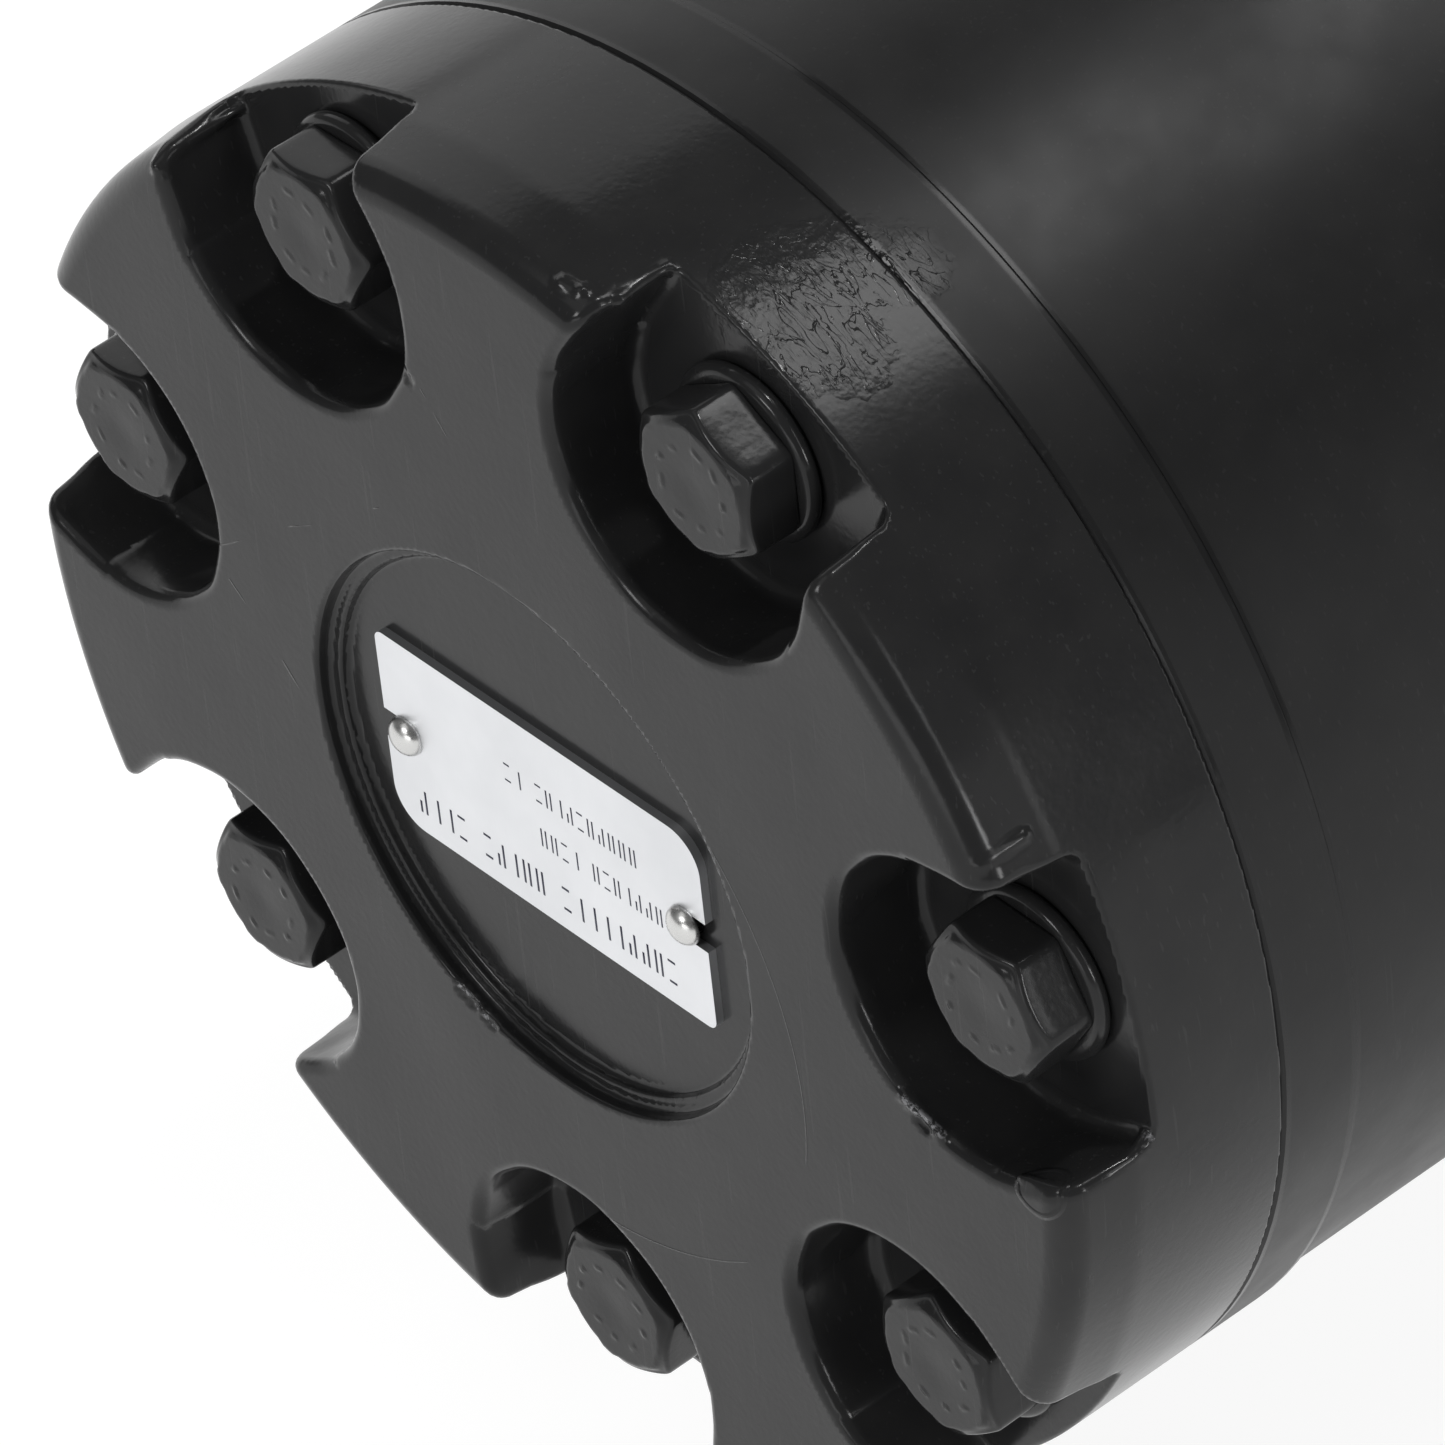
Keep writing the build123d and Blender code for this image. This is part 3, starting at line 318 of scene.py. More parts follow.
def net(field, lo, hi, step):
    """A closed quad mesh of field = 0, by surface nets: points in millimetres, faces and outward normals."""
    axes_ = [np.arange(lo[i] - 1.5 * step, hi[i] + 2.5 * step, step) for i in range(3)]
    n = [len(a) for a in axes_]
    f = np.empty(n, np.float32)
    yy, zz = np.meshgrid(axes_[1], axes_[2], indexing="ij")
    for i, d in enumerate(axes_[0]):
        f[i] = field(np.full_like(yy, d), yy, zz)
    inside = f < 0
    count = np.zeros([m - 1 for m in n], np.uint8)
    corners = [(a, b, c) for a in (0, 1) for b in (0, 1) for c in (0, 1)]
    for a, b, c in corners:
        count += inside[a : n[0] - 1 + a, b : n[1] - 1 + b, c : n[2] - 1 + c]
    cells = np.argwhere((count > 0) & (count < 8))
    index = np.full(count.shape, -1, np.int32)
    index[cells[:, 0], cells[:, 1], cells[:, 2]] = np.arange(len(cells))
    value = {c: f[cells[:, 0] + c[0], cells[:, 1] + c[1], cells[:, 2] + c[2]] for c in corners}
    total = np.zeros((len(cells), 3))
    weight = np.zeros(len(cells))
    for c in corners:
        for i in range(3):
            if c[i]:
                continue
            e = list(c)
            e[i] = 1
            va, vb = value[c], value[tuple(e)]
            cross = (va < 0) != (vb < 0)
            t = np.where(cross, va / np.where(va == vb, 1.0, va - vb), 0.0)
            pt = np.tile(np.array(c, float), (len(cells), 1))
            pt[:, i] += t
            total += pt * cross[:, None]
            weight += cross
    p = (cells + total / weight[:, None]) * step + np.array([a[0] for a in axes_])
    base = p.copy()
    for _ in range(3):
        g = gradient(field, p)
        v = field(p[:, 0], p[:, 1], p[:, 2])
        p -= g * (v / np.maximum((g * g).sum(1), 0.2))[:, None]
        p = np.clip(p, base - 0.6 * step, base + 0.6 * step)
    g = gradient(field, p)
    normals = g / np.maximum(np.linalg.norm(g, axis=1), 1e-6)[:, None]
    faces = []
    for i in range(3):
        j, k = (i + 1) % 3, (i + 2) % 3
        a = np.take(inside, range(0, n[i] - 1), axis=i)
        b = np.take(inside, range(1, n[i]), axis=i)
        at = np.argwhere(a != b)
        down = a[at[:, 0], at[:, 1], at[:, 2]]

        def cell(dj, dk):
            q = at.copy()
            q[:, j] += dj
            q[:, k] += dk
            return index[q[:, 0], q[:, 1], q[:, 2]]

        quad = np.stack([cell(-1, -1), cell(0, -1), cell(0, 0), cell(-1, 0)], 1)
        quad = np.where(down[:, None], quad, quad[:, ::-1])
        faces.append(quad)
    return p, np.concatenate(faces), normals


def make_mesh(name, p, faces, normals=None):
    """p is (d, y, z) in millimetres below the cover's face."""
    mesh = bpy.data.meshes.new(name)
    co = np.stack([p[:, 0] + FACE_MM, p[:, 1], p[:, 2]], 1) * MM
    mesh.vertices.add(len(co))
    mesh.vertices.foreach_set("co", co.astype(np.float32).ravel())
    mesh.loops.add(faces.size)
    mesh.loops.foreach_set("vertex_index", faces.astype(np.int32).ravel())
    mesh.polygons.add(len(faces))
    mesh.polygons.foreach_set("loop_start", np.arange(len(faces), dtype=np.int32) * faces.shape[1])
    mesh.polygons.foreach_set("loop_total", np.full(len(faces), faces.shape[1], np.int32))
    mesh.polygons.foreach_set("use_smooth", np.ones(len(faces), bool))
    mesh.update(calc_edges=True)
    mesh.validate()
    if normals is not None:
        mesh.normals_split_custom_set_from_vertices(normals.astype(np.float32).tolist())
    return mesh


# ------------------------------------------------------------------ end cover
STEP = 0.45
cover_p, cover_f, cover_n = net(cover_field, (0.0, -64.2, -64.2), (23.0, 64.2, 64.2), STEP)
end_cover = new_object("cover_casting", make_mesh("cover_casting", cover_p, cover_f, cover_n))
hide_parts("end_cover")
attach(end_cover, "casing")


# ------------------------------------------------------------------ bolts and washers
def turned(name, rings, count, normals=None):
    """A closed mesh of rings of `count` points each, from one pole to the other. rings: list of (count, 3)."""
    p = [rings[0].mean(0)[None]] + rings + [rings[-1].mean(0)[None]]
    pts = np.concatenate(p)
    faces, tris = [], []
    n = count
    ids = np.arange(n)
    nxt = (ids + 1) % n
    for k in range(len(rings) - 1):
        a, b = 1 + k * n, 1 + (k + 1) * n
        faces.append(np.stack([a + ids, a + nxt, b + nxt, b + ids], 1))
    last = 1 + (len(rings) - 1) * n
    tris.append(np.stack([np.zeros(n, int), 1 + nxt, 1 + ids], 1))
    tris.append(np.stack([np.full(n, len(pts) - 1), last + ids, last + nxt], 1))
    return pts, np.concatenate(faces), np.concatenate(tris)


def join_parts(name, parts):
    mesh = bpy.data.meshes.new(name)
    verts, polys, base = [], [], 0
    for pts, quads, tris in parts:
        verts.append(pts)
        polys += (quads[:, ::-1] + base).tolist() + (tris[:, ::-1] + base).tolist()
        base += len(pts)
    v = np.concatenate(verts)
    co = np.stack([v[:, 0] + FACE_MM, v[:, 1], v[:, 2]], 1) * MM
    mesh.from_pydata(co.tolist(), [], polys)
    mesh.polygons.foreach_set("use_smooth", np.ones(len(mesh.polygons), bool))
    mesh.update()
    mesh.validate()
    bm = bmesh.new()
    bm.from_mesh(mesh)
    bmesh.ops.recalc_face_normals(bm, faces=bm.faces)
    bm.to_mesh(mesh)
    bm.free()
    return mesh


BOLT_ANGLES = [90.0 / 7.0 + k * 360.0 / 7.0 for k in range(7)]
HEX_TURN = [42.3, 53.0, 34.0, 14.7, 47.3, 12.9, 30.9]
AF, HEAD_H, SEAT, WASHER_T, WASHER_R, SHANK_END = 13.0, 5.3, 9.3, 1.6, 8.0, 113.3
TOP_D = SEAT - WASHER_T - HEAD_H
ANG = 180
theta = np.arange(ANG) * 2 * math.pi / ANG


def hex_radius(th, power=26.0):
    total = np.zeros_like(th)
    for k in range(6):
        c = np.cos(th - k * math.pi / 3)
        total += np.maximum(c, 0.0) ** power
    return AF / 2 / total ** (1.0 / power)


def marks(rho, th, g):
    """Faint raised dashes in a ring on a bolt's head, as a height in millimetres."""
    h = np.zeros_like(rho)
    for m0, r0, length, width, tilt, height in g:
        u = rho * np.cos(th) - r0 * np.cos(m0)
        v = rho * np.sin(th) - r0 * np.sin(m0)
        a = u * np.cos(m0 + tilt) + v * np.sin(m0 + tilt)
        b = -u * np.sin(m0 + tilt) + v * np.cos(m0 + tilt)
        h = np.maximum(h, height * np.exp(-((a / width) ** 4)) * np.exp(-((b / length) ** 4)))
    return h


bolt_parts = []
for i, (psi, turn) in enumerate(zip(BOLT_ANGLES, HEX_TURN)):
    rot = math.radians(psi + turn + 30.0)
    R = hex_radius(theta)
    g = []
    gen = np.random.default_rng(20 + i)
    for k in range(9):
        g.append((
            k * 2 * math.pi / 9 + gen.uniform(-0.12, 0.12), gen.uniform(3.5, 4.2), gen.uniform(0.35, 0.75),
            gen.uniform(0.16, 0.24), gen.uniform(-0.5, 0.5), gen.uniform(0.05, 0.12),
        ))
    rings = []
    tops = np.linspace(0.03, 0.90, 26)
    edge = 0.42
    for s in tops:
        rho = s * (R - edge)
        x = TOP_D + 0.5 * np.maximum(rho - 6.0, 0.0) ** 1.0 * 0.85 - marks(rho, theta + 0.0, g)
        x = x + 0.10 * np.exp(-((rho / 2.4) ** 2))
        rings.append((x, rho))
    for s in (0.94, 0.97, 1.0):
        rho = s * (R - edge)
        rings.append((TOP_D + 0.62 * np.maximum(rho - 5.75, 0.0) ** 1.1, rho))
    x_edge, rho_edge = rings[-1]
    for q in np.linspace(0.18, 1.0, 5):
        a = q * math.pi / 2
        rings.append((x_edge + edge * (1 - math.cos(a)) + 0.12 * q, rho_edge + edge * math.sin(a)))
    x_side = rings[-1][0]
    bottom = SEAT - WASHER_T
    for q in (0.25, 0.5, 0.75, 0.93):
        rings.append((x_side + (bottom - 0.1 - x_side) * q, R))
    rings.append((np.full(ANG, bottom - 0.02), R - 0.06))
    rings.append((np.full(ANG, bottom), R - 0.25))
    for rr in (5.4, 4.3, 4.0):
        rings.append((np.full(ANG, bottom), np.full(ANG, rr)))
    for xx in (30.0, 60.0, 90.0, SHANK_END - 0.8):
        rings.append((np.full(ANG, xx), np.full(ANG, 4.0)))
    rings.append((np.full(ANG, SHANK_END), np.full(ANG, 3.2)))
    rings.append((np.full(ANG, SHANK_END), np.full(ANG, 1.2)))
    cy, cz = 53.75 * math.cos(math.radians(psi)), 53.75 * math.sin(math.radians(psi))
    stack = [
        np.stack([x, cy + rho * np.cos(theta + rot), cz + rho * np.sin(theta + rot)], 1) for x, rho in rings
    ]
    bolt_parts.append(turned("bolt", stack, ANG))
bolts = new_object("bolts_painted", join_parts("bolts_painted", bolt_parts))
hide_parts("cover_bolts")
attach(bolts, "casing")

washer_parts = []
for i, psi in enumerate(BOLT_ANGLES):
    cy, cz = 53.75 * math.cos(math.radians(psi)), 53.75 * math.sin(math.radians(psi))
    prof = [(SEAT - WASHER_T, 4.35), (SEAT - WASHER_T, 6.6)]
    for q in np.linspace(0.0, 1.0, 9):
        a = -math.pi / 2 + q * math.pi
        prof.append((SEAT - 0.8 + 0.8 * math.sin(a), WASHER_R - 0.75 + 0.75 * math.cos(a)))
    prof += [(SEAT, 6.6), (SEAT, 4.35)]
    n = ANG
    stack = [
        np.stack([np.full(n, x), cy + r * np.cos(theta), cz + r * np.sin(theta)], 1) for x, r in prof
    ]
    pts = np.concatenate(stack)
    ids, nxt = np.arange(n), (np.arange(n) + 1) % n
    quads = []
    for k in range(len(prof)):
        a, b = k * n, ((k + 1) % len(prof)) * n
        quads.append(np.stack([a + ids, a + nxt, b + nxt, b + ids], 1))
    washer_parts.append((pts, np.concatenate(quads), np.zeros((0, 3), int)))
washers = new_object("washers_painted", join_parts("washers_painted", washer_parts))
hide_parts("bolt_washers")
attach(washers, "casing")

# ------------------------------------------------------------------ nameplate, its print and its rivets
PLATE_TOP = 2.4 - 0.8
HALF_L, HALF_W = 39.5 / 2, 20.0 / 2


def box_part(y0, y1, z0, z1, d0, d1, turn=0.0):
    cy, cz = (y0 + y1) / 2, (z0 + z1) / 2
    out = []
    for d in (d0, d1):
        for y, z in ((y0, z0), (y1, z0), (y1, z1), (y0, z1)):
            u, v = y - cy, z - cz
            out.append((d, cy + u * math.cos(turn) - v * math.sin(turn), cz + u * math.sin(turn) + v * math.cos(turn)))
    q = np.array([[0, 1, 2, 3], [7, 6, 5, 4], [0, 4, 5, 1], [1, 5, 6, 2], [2, 6, 7, 3], [3, 7, 4, 0]])
    return np.array(out), q, np.zeros((0, 3), int)


def glyph_row(gen, y_from, y_to, z_mid, height, pitch, gaps, stroke):
    """A row of plain upright and short bars that stands in for a printed line; it spells nothing."""
    parts, y, k = [], y_from, 0
    lo_d, hi_d = PLATE_TOP - 0.012, PLATE_TOP + 0.05
    while y < y_to:
        if k not in gaps:
            kind = gen.integers(0, 4)
            if kind != 2:
                parts.append(box_part(y, y + stroke, z_mid - height / 2, z_mid + height / 2, lo_d, hi_d))
            if kind == 1:
                parts.append(box_part(y + 0.42 * pitch, y + 0.42 * pitch + stroke, z_mid - height / 2, z_mid + height / 2, lo_d, hi_d))
            if kind == 2:
                parts.append(box_part(y, y + 0.55 * pitch, z_mid + height / 2 - stroke, z_mid + height / 2, lo_d, hi_d))
                parts.append(box_part(y, y + 0.55 * pitch, z_mid - height / 2, z_mid - height / 2 + stroke, lo_d, hi_d))
            if kind == 3:
                parts.append(box_part(y + 0.40 * pitch, y + 0.40 * pitch + stroke, z_mid - height / 2, z_mid, lo_d, hi_d))
        y += pitch
        k += 1
    return parts


gen = np.random.default_rng(12)
print_parts = glyph_row(gen, -15.2, 15.6, -6.6, 2.5, 1.62, {9, 15}, 0.24)
print_parts += glyph_row(gen, -14.2, 0.4, -1.2, 1.9, 1.28, {7}, 0.17)
print_parts += glyph_row(gen, -11.6, 4.4, 3.6, 1.9, 1.28, {10}, 0.17)
plate_print = new_object("nameplate_print", join_parts("nameplate_print", print_parts))
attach(plate_print, "casing")

dome_parts = []
for y in (17.1, -17.1):
    n = 48
    th = np.arange(n) * 2 * math.pi / n
    prof = [(PLATE_TOP + 0.06, 1.2)]
    rings = []
    for q in np.linspace(0.06, 1.0, 14):
        a = q * math.pi / 2
        rings.append((PLATE_TOP - 1.28 * math.cos(a), 1.85 * math.sin(a)))
    rings += [(PLATE_TOP + 0.0, 1.75), (PLATE_TOP, 1.2), (PLATE_TOP + 3.6, 1.2), (PLATE_TOP + 3.6, 0.4)]
    stack = [np.stack([np.full(n, x), y + r * np.cos(th), r * np.sin(th)], 1) for x, r in rings]
    dome_parts.append(turned("rivet", stack, n))
rivets = new_object("rivets_domed", join_parts("rivets_domed", dome_parts))
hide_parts("nameplate_rivets")
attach(rivets, "casing")

# ------------------------------------------------------------------ materials
SPEC = 0.20


def streaks(k, coord, rotation, fine, long_, threshold, seed):
    v = k.mapping(coord, scale=(fine, fine, long_), rotation=rotation)
    n = k.add("ShaderNodeTexNoise")
    n.noise_dimensions = "4D"
    n.inputs["W"].default_value = seed
    n.inputs["Scale"].default_value = 1.0
    n.inputs["Detail"].default_value = 1.0
    k.link(v, n.inputs["Vector"])
    return k.ramp(n.outputs["Fac"], ((threshold, threshold + 0.05), (0.0, 1.0)))


def segment(k, coord, a, b, width, waver=0.0):
    """1 on a thin line from a to b (metres, row frame), 0 away from it."""
    a, b = Vector(a), Vector(b)
    length = (b - a).length
    axis = (b - a) / length
    src = coord
    if waver:
        n = k.add("ShaderNodeTexNoise")
        n.inputs["Scale"].default_value = 90.0
        n.inputs["Detail"].default_value = 2.0
        k.link(coord, n.inputs["Vector"])
        c = k.add("ShaderNodeVectorMath", operation="SUBTRACT")
        k.link(n.outputs["Color"], c.inputs[0])
        c.inputs[1].default_value = (0.5, 0.5, 0.5)
        s = k.add("ShaderNodeVectorMath", operation="SCALE")
        k.link(c.outputs[0], s.inputs[0])
        s.inputs["Scale"].default_value = waver
        ad = k.add("ShaderNodeVectorMath", operation="ADD")
        k.link(coord, ad.inputs[0])
        k.link(s.outputs[0], ad.inputs[1])
        src = ad.outputs[0]
    rel = k.add("ShaderNodeVectorMath", operation="SUBTRACT")
    k.link(src, rel.inputs[0])
    rel.inputs[1].default_value = a
    dot = k.add("ShaderNodeVectorMath", operation="DOT_PRODUCT")
    k.link(rel.outputs[0], dot.inputs[0])
    dot.inputs[1].default_value = axis
    t = k.math("MINIMUM", k.math("MAXIMUM", dot.outputs["Value"], 0.0), length)
    along = k.add("ShaderNodeVectorMath", operation="SCALE")
    along.inputs[0].default_value = axis
    k.link(t, along.inputs["Scale"])
    off = k.add("ShaderNodeVectorMath", operation="DISTANCE")
    k.link(rel.outputs[0], off.inputs[0])
    k.link(along.outputs[0], off.inputs[1])
    return k.ramp(off.outputs["Value"], ((width, 0.25 * width), (0.0, 1.0)))


def arc(k, coord, centre_yz, radius, width, angle, spread, waver=0.0):
    """1 on a thin arc about an axis along X, over `spread` degrees about `angle`, 0 away from it."""
    rel = k.add("ShaderNodeVectorMath", operation="SUBTRACT")
    k.link(coord, rel.inputs[0])
    rel.inputs[1].default_value = (0.0, centre_yz[0], centre_yz[1])
    flat = k.add("ShaderNodeVectorMath", operation="MULTIPLY")
    k.link(rel.outputs[0], flat.inputs[0])
    flat.inputs[1].default_value = (0.0, 1.0, 1.0)
    ln = k.add("ShaderNodeVectorMath", operation="LENGTH")
    k.link(flat.outputs[0], ln.inputs[0])
    d = k.math("ABSOLUTE", k.math("SUBTRACT", ln.outputs["Value"], radius))
    line = k.ramp(d, ((width, 0.3 * width), (0.0, 1.0)))
    nrm = k.add("ShaderNodeVectorMath", operation="NORMALIZE")
    k.link(flat.outputs[0], nrm.inputs[0])
    dot = k.add("ShaderNodeVectorMath", operation="DOT_PRODUCT")
    k.link(nrm.outputs[0], dot.inputs[0])
    dot.inputs[1].default_value = (0.0, math.cos(math.radians(angle)), math.sin(math.radians(angle)))
    lim = math.cos(math.radians(spread / 2))
    part = k.ramp(dot.outputs["Value"], ((lim, lim + (1 - lim) * 0.3), (0.0, 1.0)))
    return k.math("MULTIPLY", line, part)


def spot(k, coord, point, radius, raggedness=0.35, core=0.75):
    n = k.noise(coord, 2.2 / radius, 3.0, 0.6)
    d = k.distance(coord, point)
    v = k.math("ADD", d, k.math("MULTIPLY", k.math("SUBTRACT", n, 0.5), radius * 2 * raggedness))
    return k.ramp(v, ((radius, core * radius), (0.0, 1.0)))


def total(k, parts):
    out = parts[0]
    for p in parts[1:]:
        out = k.math("MAXIMUM", out, p)
    return out


def black_paint(name, base, rough, peel, marks_=False):
    m, k, p, coord = material(name)
    n1 = k.noise(coord, 140.0, 4.0, 0.55)
    n2 = k.noise(coord, 2600.0, 2.0, 0.5)
    col = k.mix(k.ramp(n1, ((0.3, 0.7), (0.0, 1.0))), (base * 0.86, base * 0.87, base * 0.9, 1), (base * 1.14, base * 1.14, base * 1.15, 1))
    dust = streaks(k, coord, (0.4, 0.2, 0.5), 2600.0, 60.0, 0.66, 3.0)
    col = k.mix(k.math("MULTIPLY", dust, 0.25), col, (base * 3.2, base * 3.2, base * 3.2, 1))
    r = k.ramp(k.noise(coord, 75.0, 5.0, 0.6), ((0.3, 0.7), (rough * 0.84, rough * 1.16)))
    height = k.math("MULTIPLY", n2, 1.0)
    normal = k.bump(k.noise(coord, 1350.0, 1.0, 0.5), peel, 0.00012)
    normal = k.bump(k.noise(coord, 170.0, 2.0, 0.5), 0.35 * peel, 0.0006, normal)
    if marks_:
        patch = total(k, [
            spot(k, coord, (-0.1787, -0.0212, 0.0604), 0.0056, 0.45, 0.40),
            spot(k, coord, (-0.1785, -0.0268, 0.0581), 0.0056, 0.45, 0.40),
            spot(k, coord, (-0.1738, -0.0228, 0.0598), 0.0056, 0.45, 0.40),
            spot(k, coord, (-0.1690, -0.0252, 0.0588), 0.0042, 0.45, 0.30),
            spot(k, coord, (-0.1828, -0.0268, 0.0580), 0.0032, 0.45, 0.40),
        ])
        wr = k.noise(k.mapping(coord, scale=(1.0, 0.45, 0.45), rotation=(0.9, 0.2, 0.5)), 430.0, 3.0, 0.55, 1.0)
        wr2 = k.noise(k.mapping(coord, scale=(1.0, 0.30, 0.30), rotation=(0.2, 0.4, 0.3)), 1700.0, 2.0, 0.6, 0.6)
        wr3 = k.noise(k.mapping(coord, scale=(1.0, 0.35, 0.35), rotation=(0.5, 0.1, 0.9)), 780.0, 2.0, 0.5, 1.2)
        ridge = k.ramp(k.math("ABSOLUTE", k.math("SUBTRACT", wr3, 0.5)), ((0.022, 0.0), (0.0, 1.0)))
        mix_h = k.math("ADD", k.math("ADD", k.math("MULTIPLY", wr, 0.55), k.math("MULTIPLY", wr2, 0.34)), k.math("MULTIPLY", ridge, 0.34))
        rough_h = k.math("MULTIPLY", mix_h, patch)
        normal = k.bump(rough_h, 0.22, 0.0006, normal)
        r = k.math("SUBTRACT", r, k.math("MULTIPLY", patch, max(rough - 0.24, 0.0)))
        ringed = k.ramp(
            k.math("ABSOLUTE", k.math("SUBTRACT", k.distance(coord, (X_FACE + 0.0004, -0.0598, -0.0008)), 0.0026)),
            ((0.00035, 0.0001), (0.0, 1.0)),
        )
        normal = k.bump(ringed, 0.45, 0.0003, normal)
        scr = total(k, [
            segment(k, coord, (-0.1933, 0.0366, 0.0065), (-0.1933, 0.0262, -0.0040), 0.00016, 0.002),
            segment(k, coord, (-0.1933, 0.0380, 0.0095), (-0.1933, 0.0100, 0.0300), 0.00010, 0.002),
            segment(k, coord, (-0.1933, 0.0070, 0.0430), (-0.1933, -0.0020, 0.0330), 0.00012, 0.003),
            arc(k, coord, (0.004, -0.010), 0.0360, 0.00010, 165.0, 50.0),
            arc(k, coord, (0.0, 0.0), 0.0395, 0.00010, 255.0, 40.0),
        ])
        normal = k.bump(scr, 0.6, 0.00012, normal)
        col = k.mix(k.math("MULTIPLY", scr, 0.32), col, (0.10, 0.10, 0.10, 1))
        bare = total(k, [
            segment(k, coord, (X_FACE + 0.0003, -0.0446, -0.0008), (X_FACE + 0.0004, -0.0486, -0.0024), 0.0005, 0.0016),
            segment(k, coord, (X_FACE + 0.0002, 0.0124, -0.0238), (X_FACE + 0.0002, 0.0082, -0.0256), 0.0003, 0.0012),
            spot(k, coord, (X_FACE + 0.0091, -0.0634, 0.0009), 0.0006, 0.6, 0.6),
        ])
        chip = k.ramp(k.noise(coord, 1900.0, 3.0, 0.6), ((0.46, 0.56), (0.0, 1.0)))
        bare = k.math("MULTIPLY", bare, chip)
        col = k.mix(bare, col, (0.22, 0.22, 0.23, 1))
        normal = k.bump(bare, 0.8, 0.0002, normal)
    if rough > 0.3:
        sep = k.add("ShaderNodeSeparateXYZ")
        k.link(coord, sep.inputs[0])
        near = total(k, [
            k.ramp(k.math("ABSOLUTE", k.math("SUBTRACT", sep.outputs[0], x)), ((0.0009, 0.0006), (0.0, 1.0)))
            for x in (X_FACE + 0.0230, X_FACE + 0.0313)
        ])
        r = k.math("SUBTRACT", r, k.math("MULTIPLY", near, 0.20))
    k.link(col, p.inputs["Base Color"])
    k.link(r, p.inputs["Roughness"])
    k.link(normal, p.inputs["Normal"])
    p.inputs["Specular IOR Level"].default_value = SPEC
    return m


def metal(name, base, rough, grain=(1.0, 1.0, 30.0), scale=900.0, bump=0.15):
    m, k, p, coord = material(name)
    v = k.mapping(coord, scale=grain)
    n = k.noise(v, scale, 3.0, 0.6)
    w = k.noise(coord, 60.0, 4.0, 0.6)
    col = k.mix(k.ramp(w, ((0.3, 0.7), (0.0, 1.0))), tuple(c * 0.9 for c in base) + (1,), tuple(min(1.0, c * 1.06) for c in base) + (1,))
    k.link(col, p.inputs["Base Color"])
    k.link(k.ramp(n, ((0.25, 0.75), (rough * 0.75, rough * 1.3))), p.inputs["Roughness"])
    p.inputs["Metallic"].default_value = 1.0
    k.link(k.bump(n, bump, 0.00008), p.inputs["Normal"])
    return m


def flat_kind(name, base, rough, scale, bump, depth):
    m, k, p, coord = material(name)
    n = k.noise(coord, scale, 4.0, 0.6)
    col = k.mix(k.ramp(n, ((0.3, 0.7), (0.0, 1.0))), tuple(c * 0.8 for c in base) + (1,), tuple(c * 1.25 for c in base) + (1,))
    k.link(col, p.inputs["Base Color"])
    k.link(k.ramp(n, ((0.3, 0.7), (rough * 0.9, min(1.0, rough * 1.1)))), p.inputs["Roughness"])
    k.link(k.bump(n, bump, depth), p.inputs["Normal"])
    return m


paint_cover = black_paint("black_paint_cast", 0.017, 0.19, 0.10, True)
paint_smooth = black_paint("black_paint_turned", 0.012, 0.38, 0.05, True)
paint_bolt = black_paint("black_paint_bolt", 0.018, 0.16, 0.10)
steel = metal("ground_steel", (0.56, 0.57, 0.58), 0.30)
spring = metal("oiled_spring_steel", (0.32, 0.33, 0.35), 0.34)
rivet_steel = metal("rivet_steel", (0.66, 0.66, 0.65), 0.28, (1, 1, 1), 1500.0, 0.1)
rubber = flat_kind("black_rubber", (0.02, 0.02, 0.02), 0.62, 500.0, 0.2, 0.0001)
ink = flat_kind("print_ink", (0.016, 0.018, 0.045), 0.5, 1500.0, 0.1, 0.00003)

m, k, p, coord = material("plate_silver")
grain = k.noise(k.mapping(coord, scale=(1, 18, 1)), 700.0, 2.0, 0.6)
blot = k.noise(coord, 90.0, 3.0, 0.6)
k.link(k.mix(k.ramp(blot, ((0.3, 0.7), (0.0, 1.0))), (0.71, 0.72, 0.74, 1), (0.78, 0.79, 0.81, 1)), p.inputs["Base Color"])
k.link(k.ramp(grain, ((0.25, 0.75), (0.28, 0.40))), p.inputs["Roughness"])
k.link(k.bump(grain, 0.12, 0.00003), p.inputs["Normal"])
p.inputs["Metallic"].default_value = 0.85
plate_mat = m

by_node = {}
for n in NODES:
    by_node[n] = steel
for n in ("valve_plate", "gear_ring", "wear_plate"):
    by_node[n] = paint_smooth
for n in ("front_housing", "mounting_flange"):
    by_node[n] = paint_cover
for n in ("flange_screws", "cover_bolts", "bolt_washers"):
    by_node[n] = paint_bolt
for n in NODES:
    if "o_ring" in n or n in ("shaft_seal", "dust_seal", "balance_ring_seal"):
        by_node[n] = rubber
for n in ("seal_spring", "seal_retaining_ring", "disc_spring"):
    by_node[n] = spring
by_node["end_cover"] = paint_cover
by_node["nameplate"] = plate_mat
by_node["nameplate_rivets"] = rivet_steel
for n, mat in by_node.items():
    NODES[n].data.materials.clear()
    NODES[n].data.materials.append(mat)
for o, mat in (
    (end_cover, paint_cover), (bolts, paint_bolt), (washers, paint_bolt), (plate_print, ink), (rivets, rivet_steel),
):
    o.data.materials.clear()
    o.data.materials.append(mat)

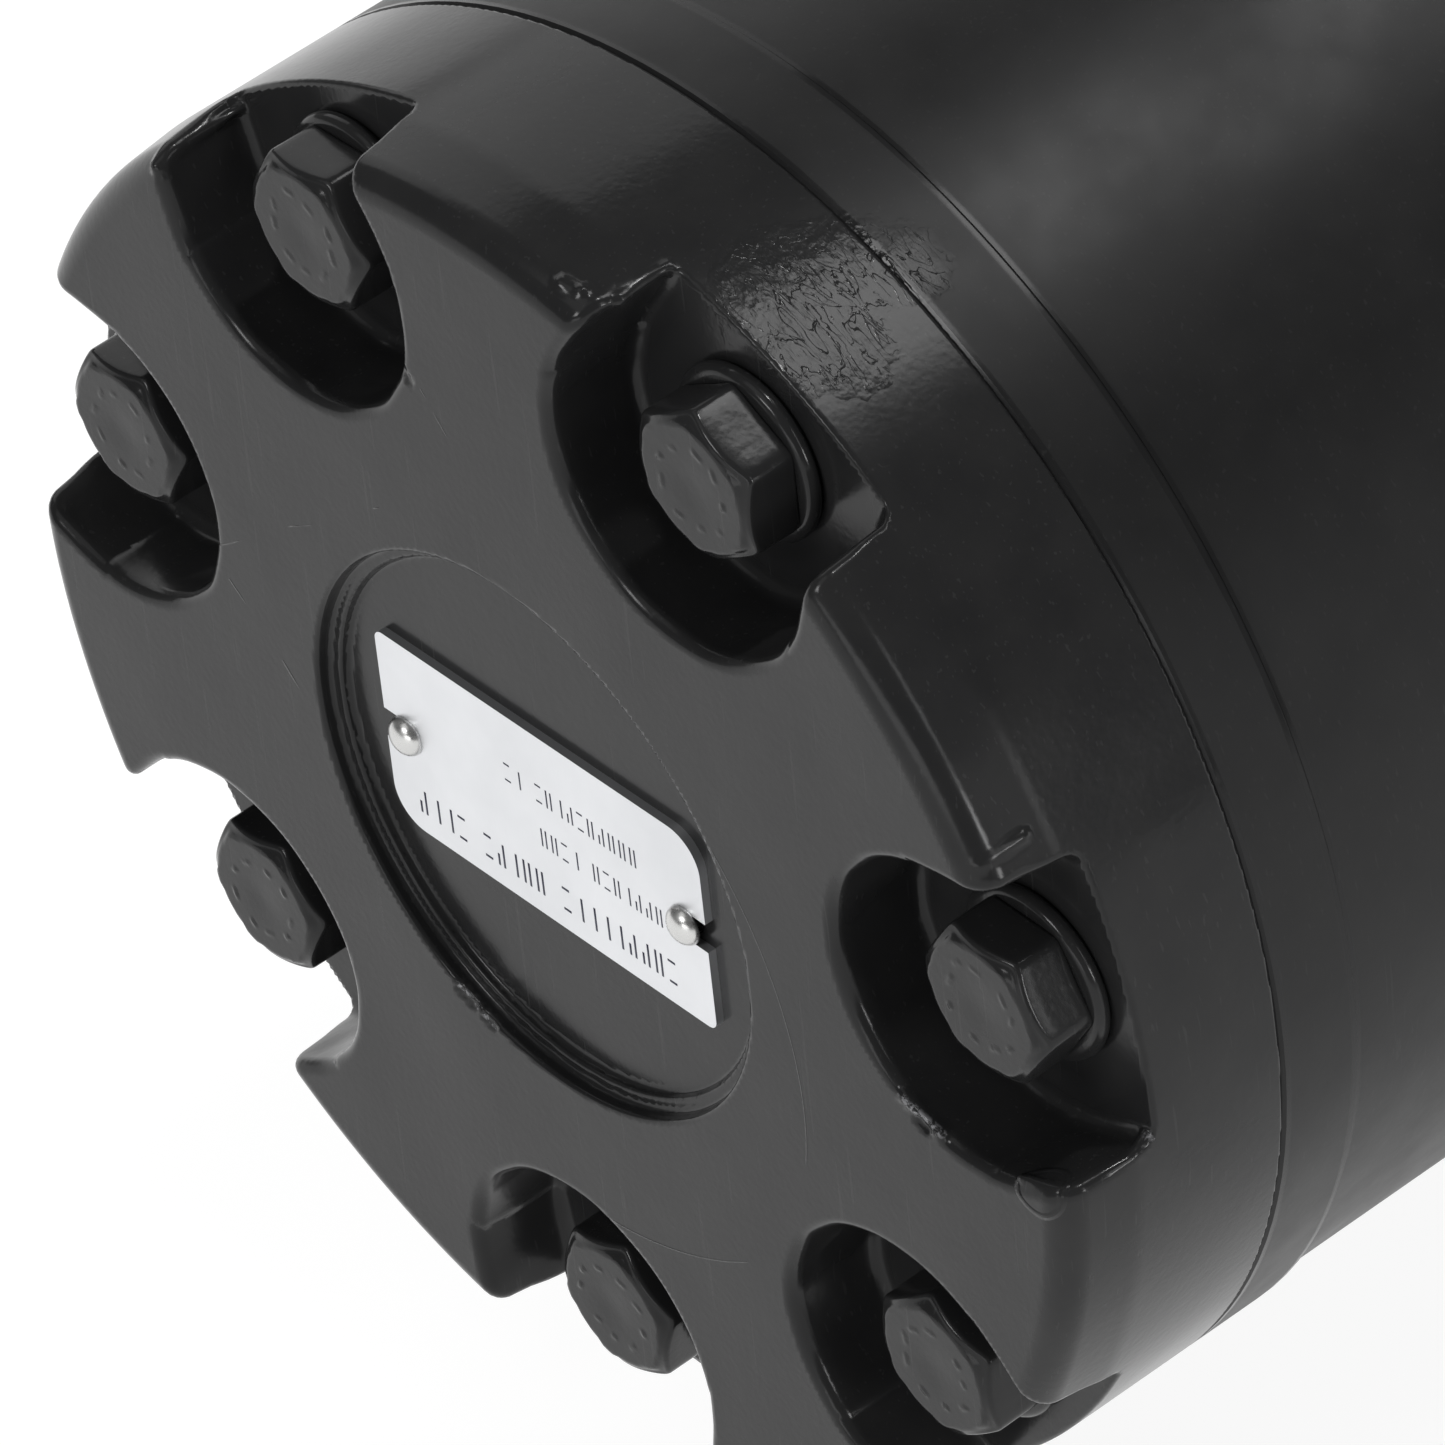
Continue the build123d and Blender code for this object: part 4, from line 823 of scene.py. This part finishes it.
# ------------------------------------------------------------------ floor and light
FLOOR_Z = float(cad_lo[2]) - 0.0005
floor_mesh = bpy.data.meshes.new("floor")
s = 4.0
floor_mesh.from_pydata([(-s, -s, FLOOR_Z), (s, -s, FLOOR_Z), (s, s, FLOOR_Z), (-s, s, FLOOR_Z)], [], [(0, 1, 2, 3)])
floor = new_object("floor", floor_mesh)
m, k, p, coord = material("pale_floor")
fn = k.noise(coord, 3.0, 2.0, 0.5)
k.link(k.mix(fn, (0.19, 0.19, 0.19, 1), (0.21, 0.21, 0.21, 1)), p.inputs["Base Color"])
p.inputs["Roughness"].default_value = 0.7
p.inputs["Emission Color"].default_value = (1, 1, 1, 1)
p.inputs["Emission Strength"].default_value = 0.90
floor_mesh.materials.append(m)

world = bpy.data.worlds.new("world")
world.use_nodes = True
world.node_tree.nodes["Background"].inputs["Color"].default_value = (1.0, 1.0, 1.0, 1)
world.node_tree.nodes["Background"].inputs["Strength"].default_value = 0.15
scene.world = world


def area(name, at, to, size, power):
    d = bpy.data.lights.new(name, "AREA")
    d.shape = "RECTANGLE"
    d.size, d.size_y = size
    d.energy = power
    o = bpy.data.objects.new(name, d)
    scene.collection.objects.link(o)
    o.location = at
    o.rotation_euler = (Vector(to) - Vector(at)).to_track_quat("-Z", "Y").to_euler()
    return o


CENTRE = (-0.15, 0.0, 0.0)
area("key_over", (0.47, -0.13, 1.16), CENTRE, (0.42, 0.42), 4.1)
area("front_soft", (-1.42, -0.42, 0.14), CENTRE, (0.75, 0.30), 1.8)
area("back_soft", (0.27, 1.17, 0.82), CENTRE, (1.3, 0.9), 4.2)
area("back_low", (0.51, 1.23, 0.17), CENTRE, (0.6, 0.35), 0.7)
area("left_soft", (-0.9, 0.2, 1.2), CENTRE, (0.8, 0.8), 1.3)
area("edge_spark", (-1.33, 0.03, 0.74), CENTRE, (0.35, 0.30), 4.2)
area("glint", (0.03, -0.16, 1.40), CENTRE, (0.07, 0.07), 3.6)
area("side_strip", (-0.09, -1.36, 0.33), CENTRE, (0.20, 0.36), 3.6)
area("side_strip_high", (-0.09, -1.16, 0.80), CENTRE, (0.20, 0.45), 0.9)
area("side_strip_back", (0.37, -1.30, 0.32), CENTRE, (0.08, 0.45), 0.6)

scene.view_settings.view_transform = "Standard"
scene.view_settings.look = "None"
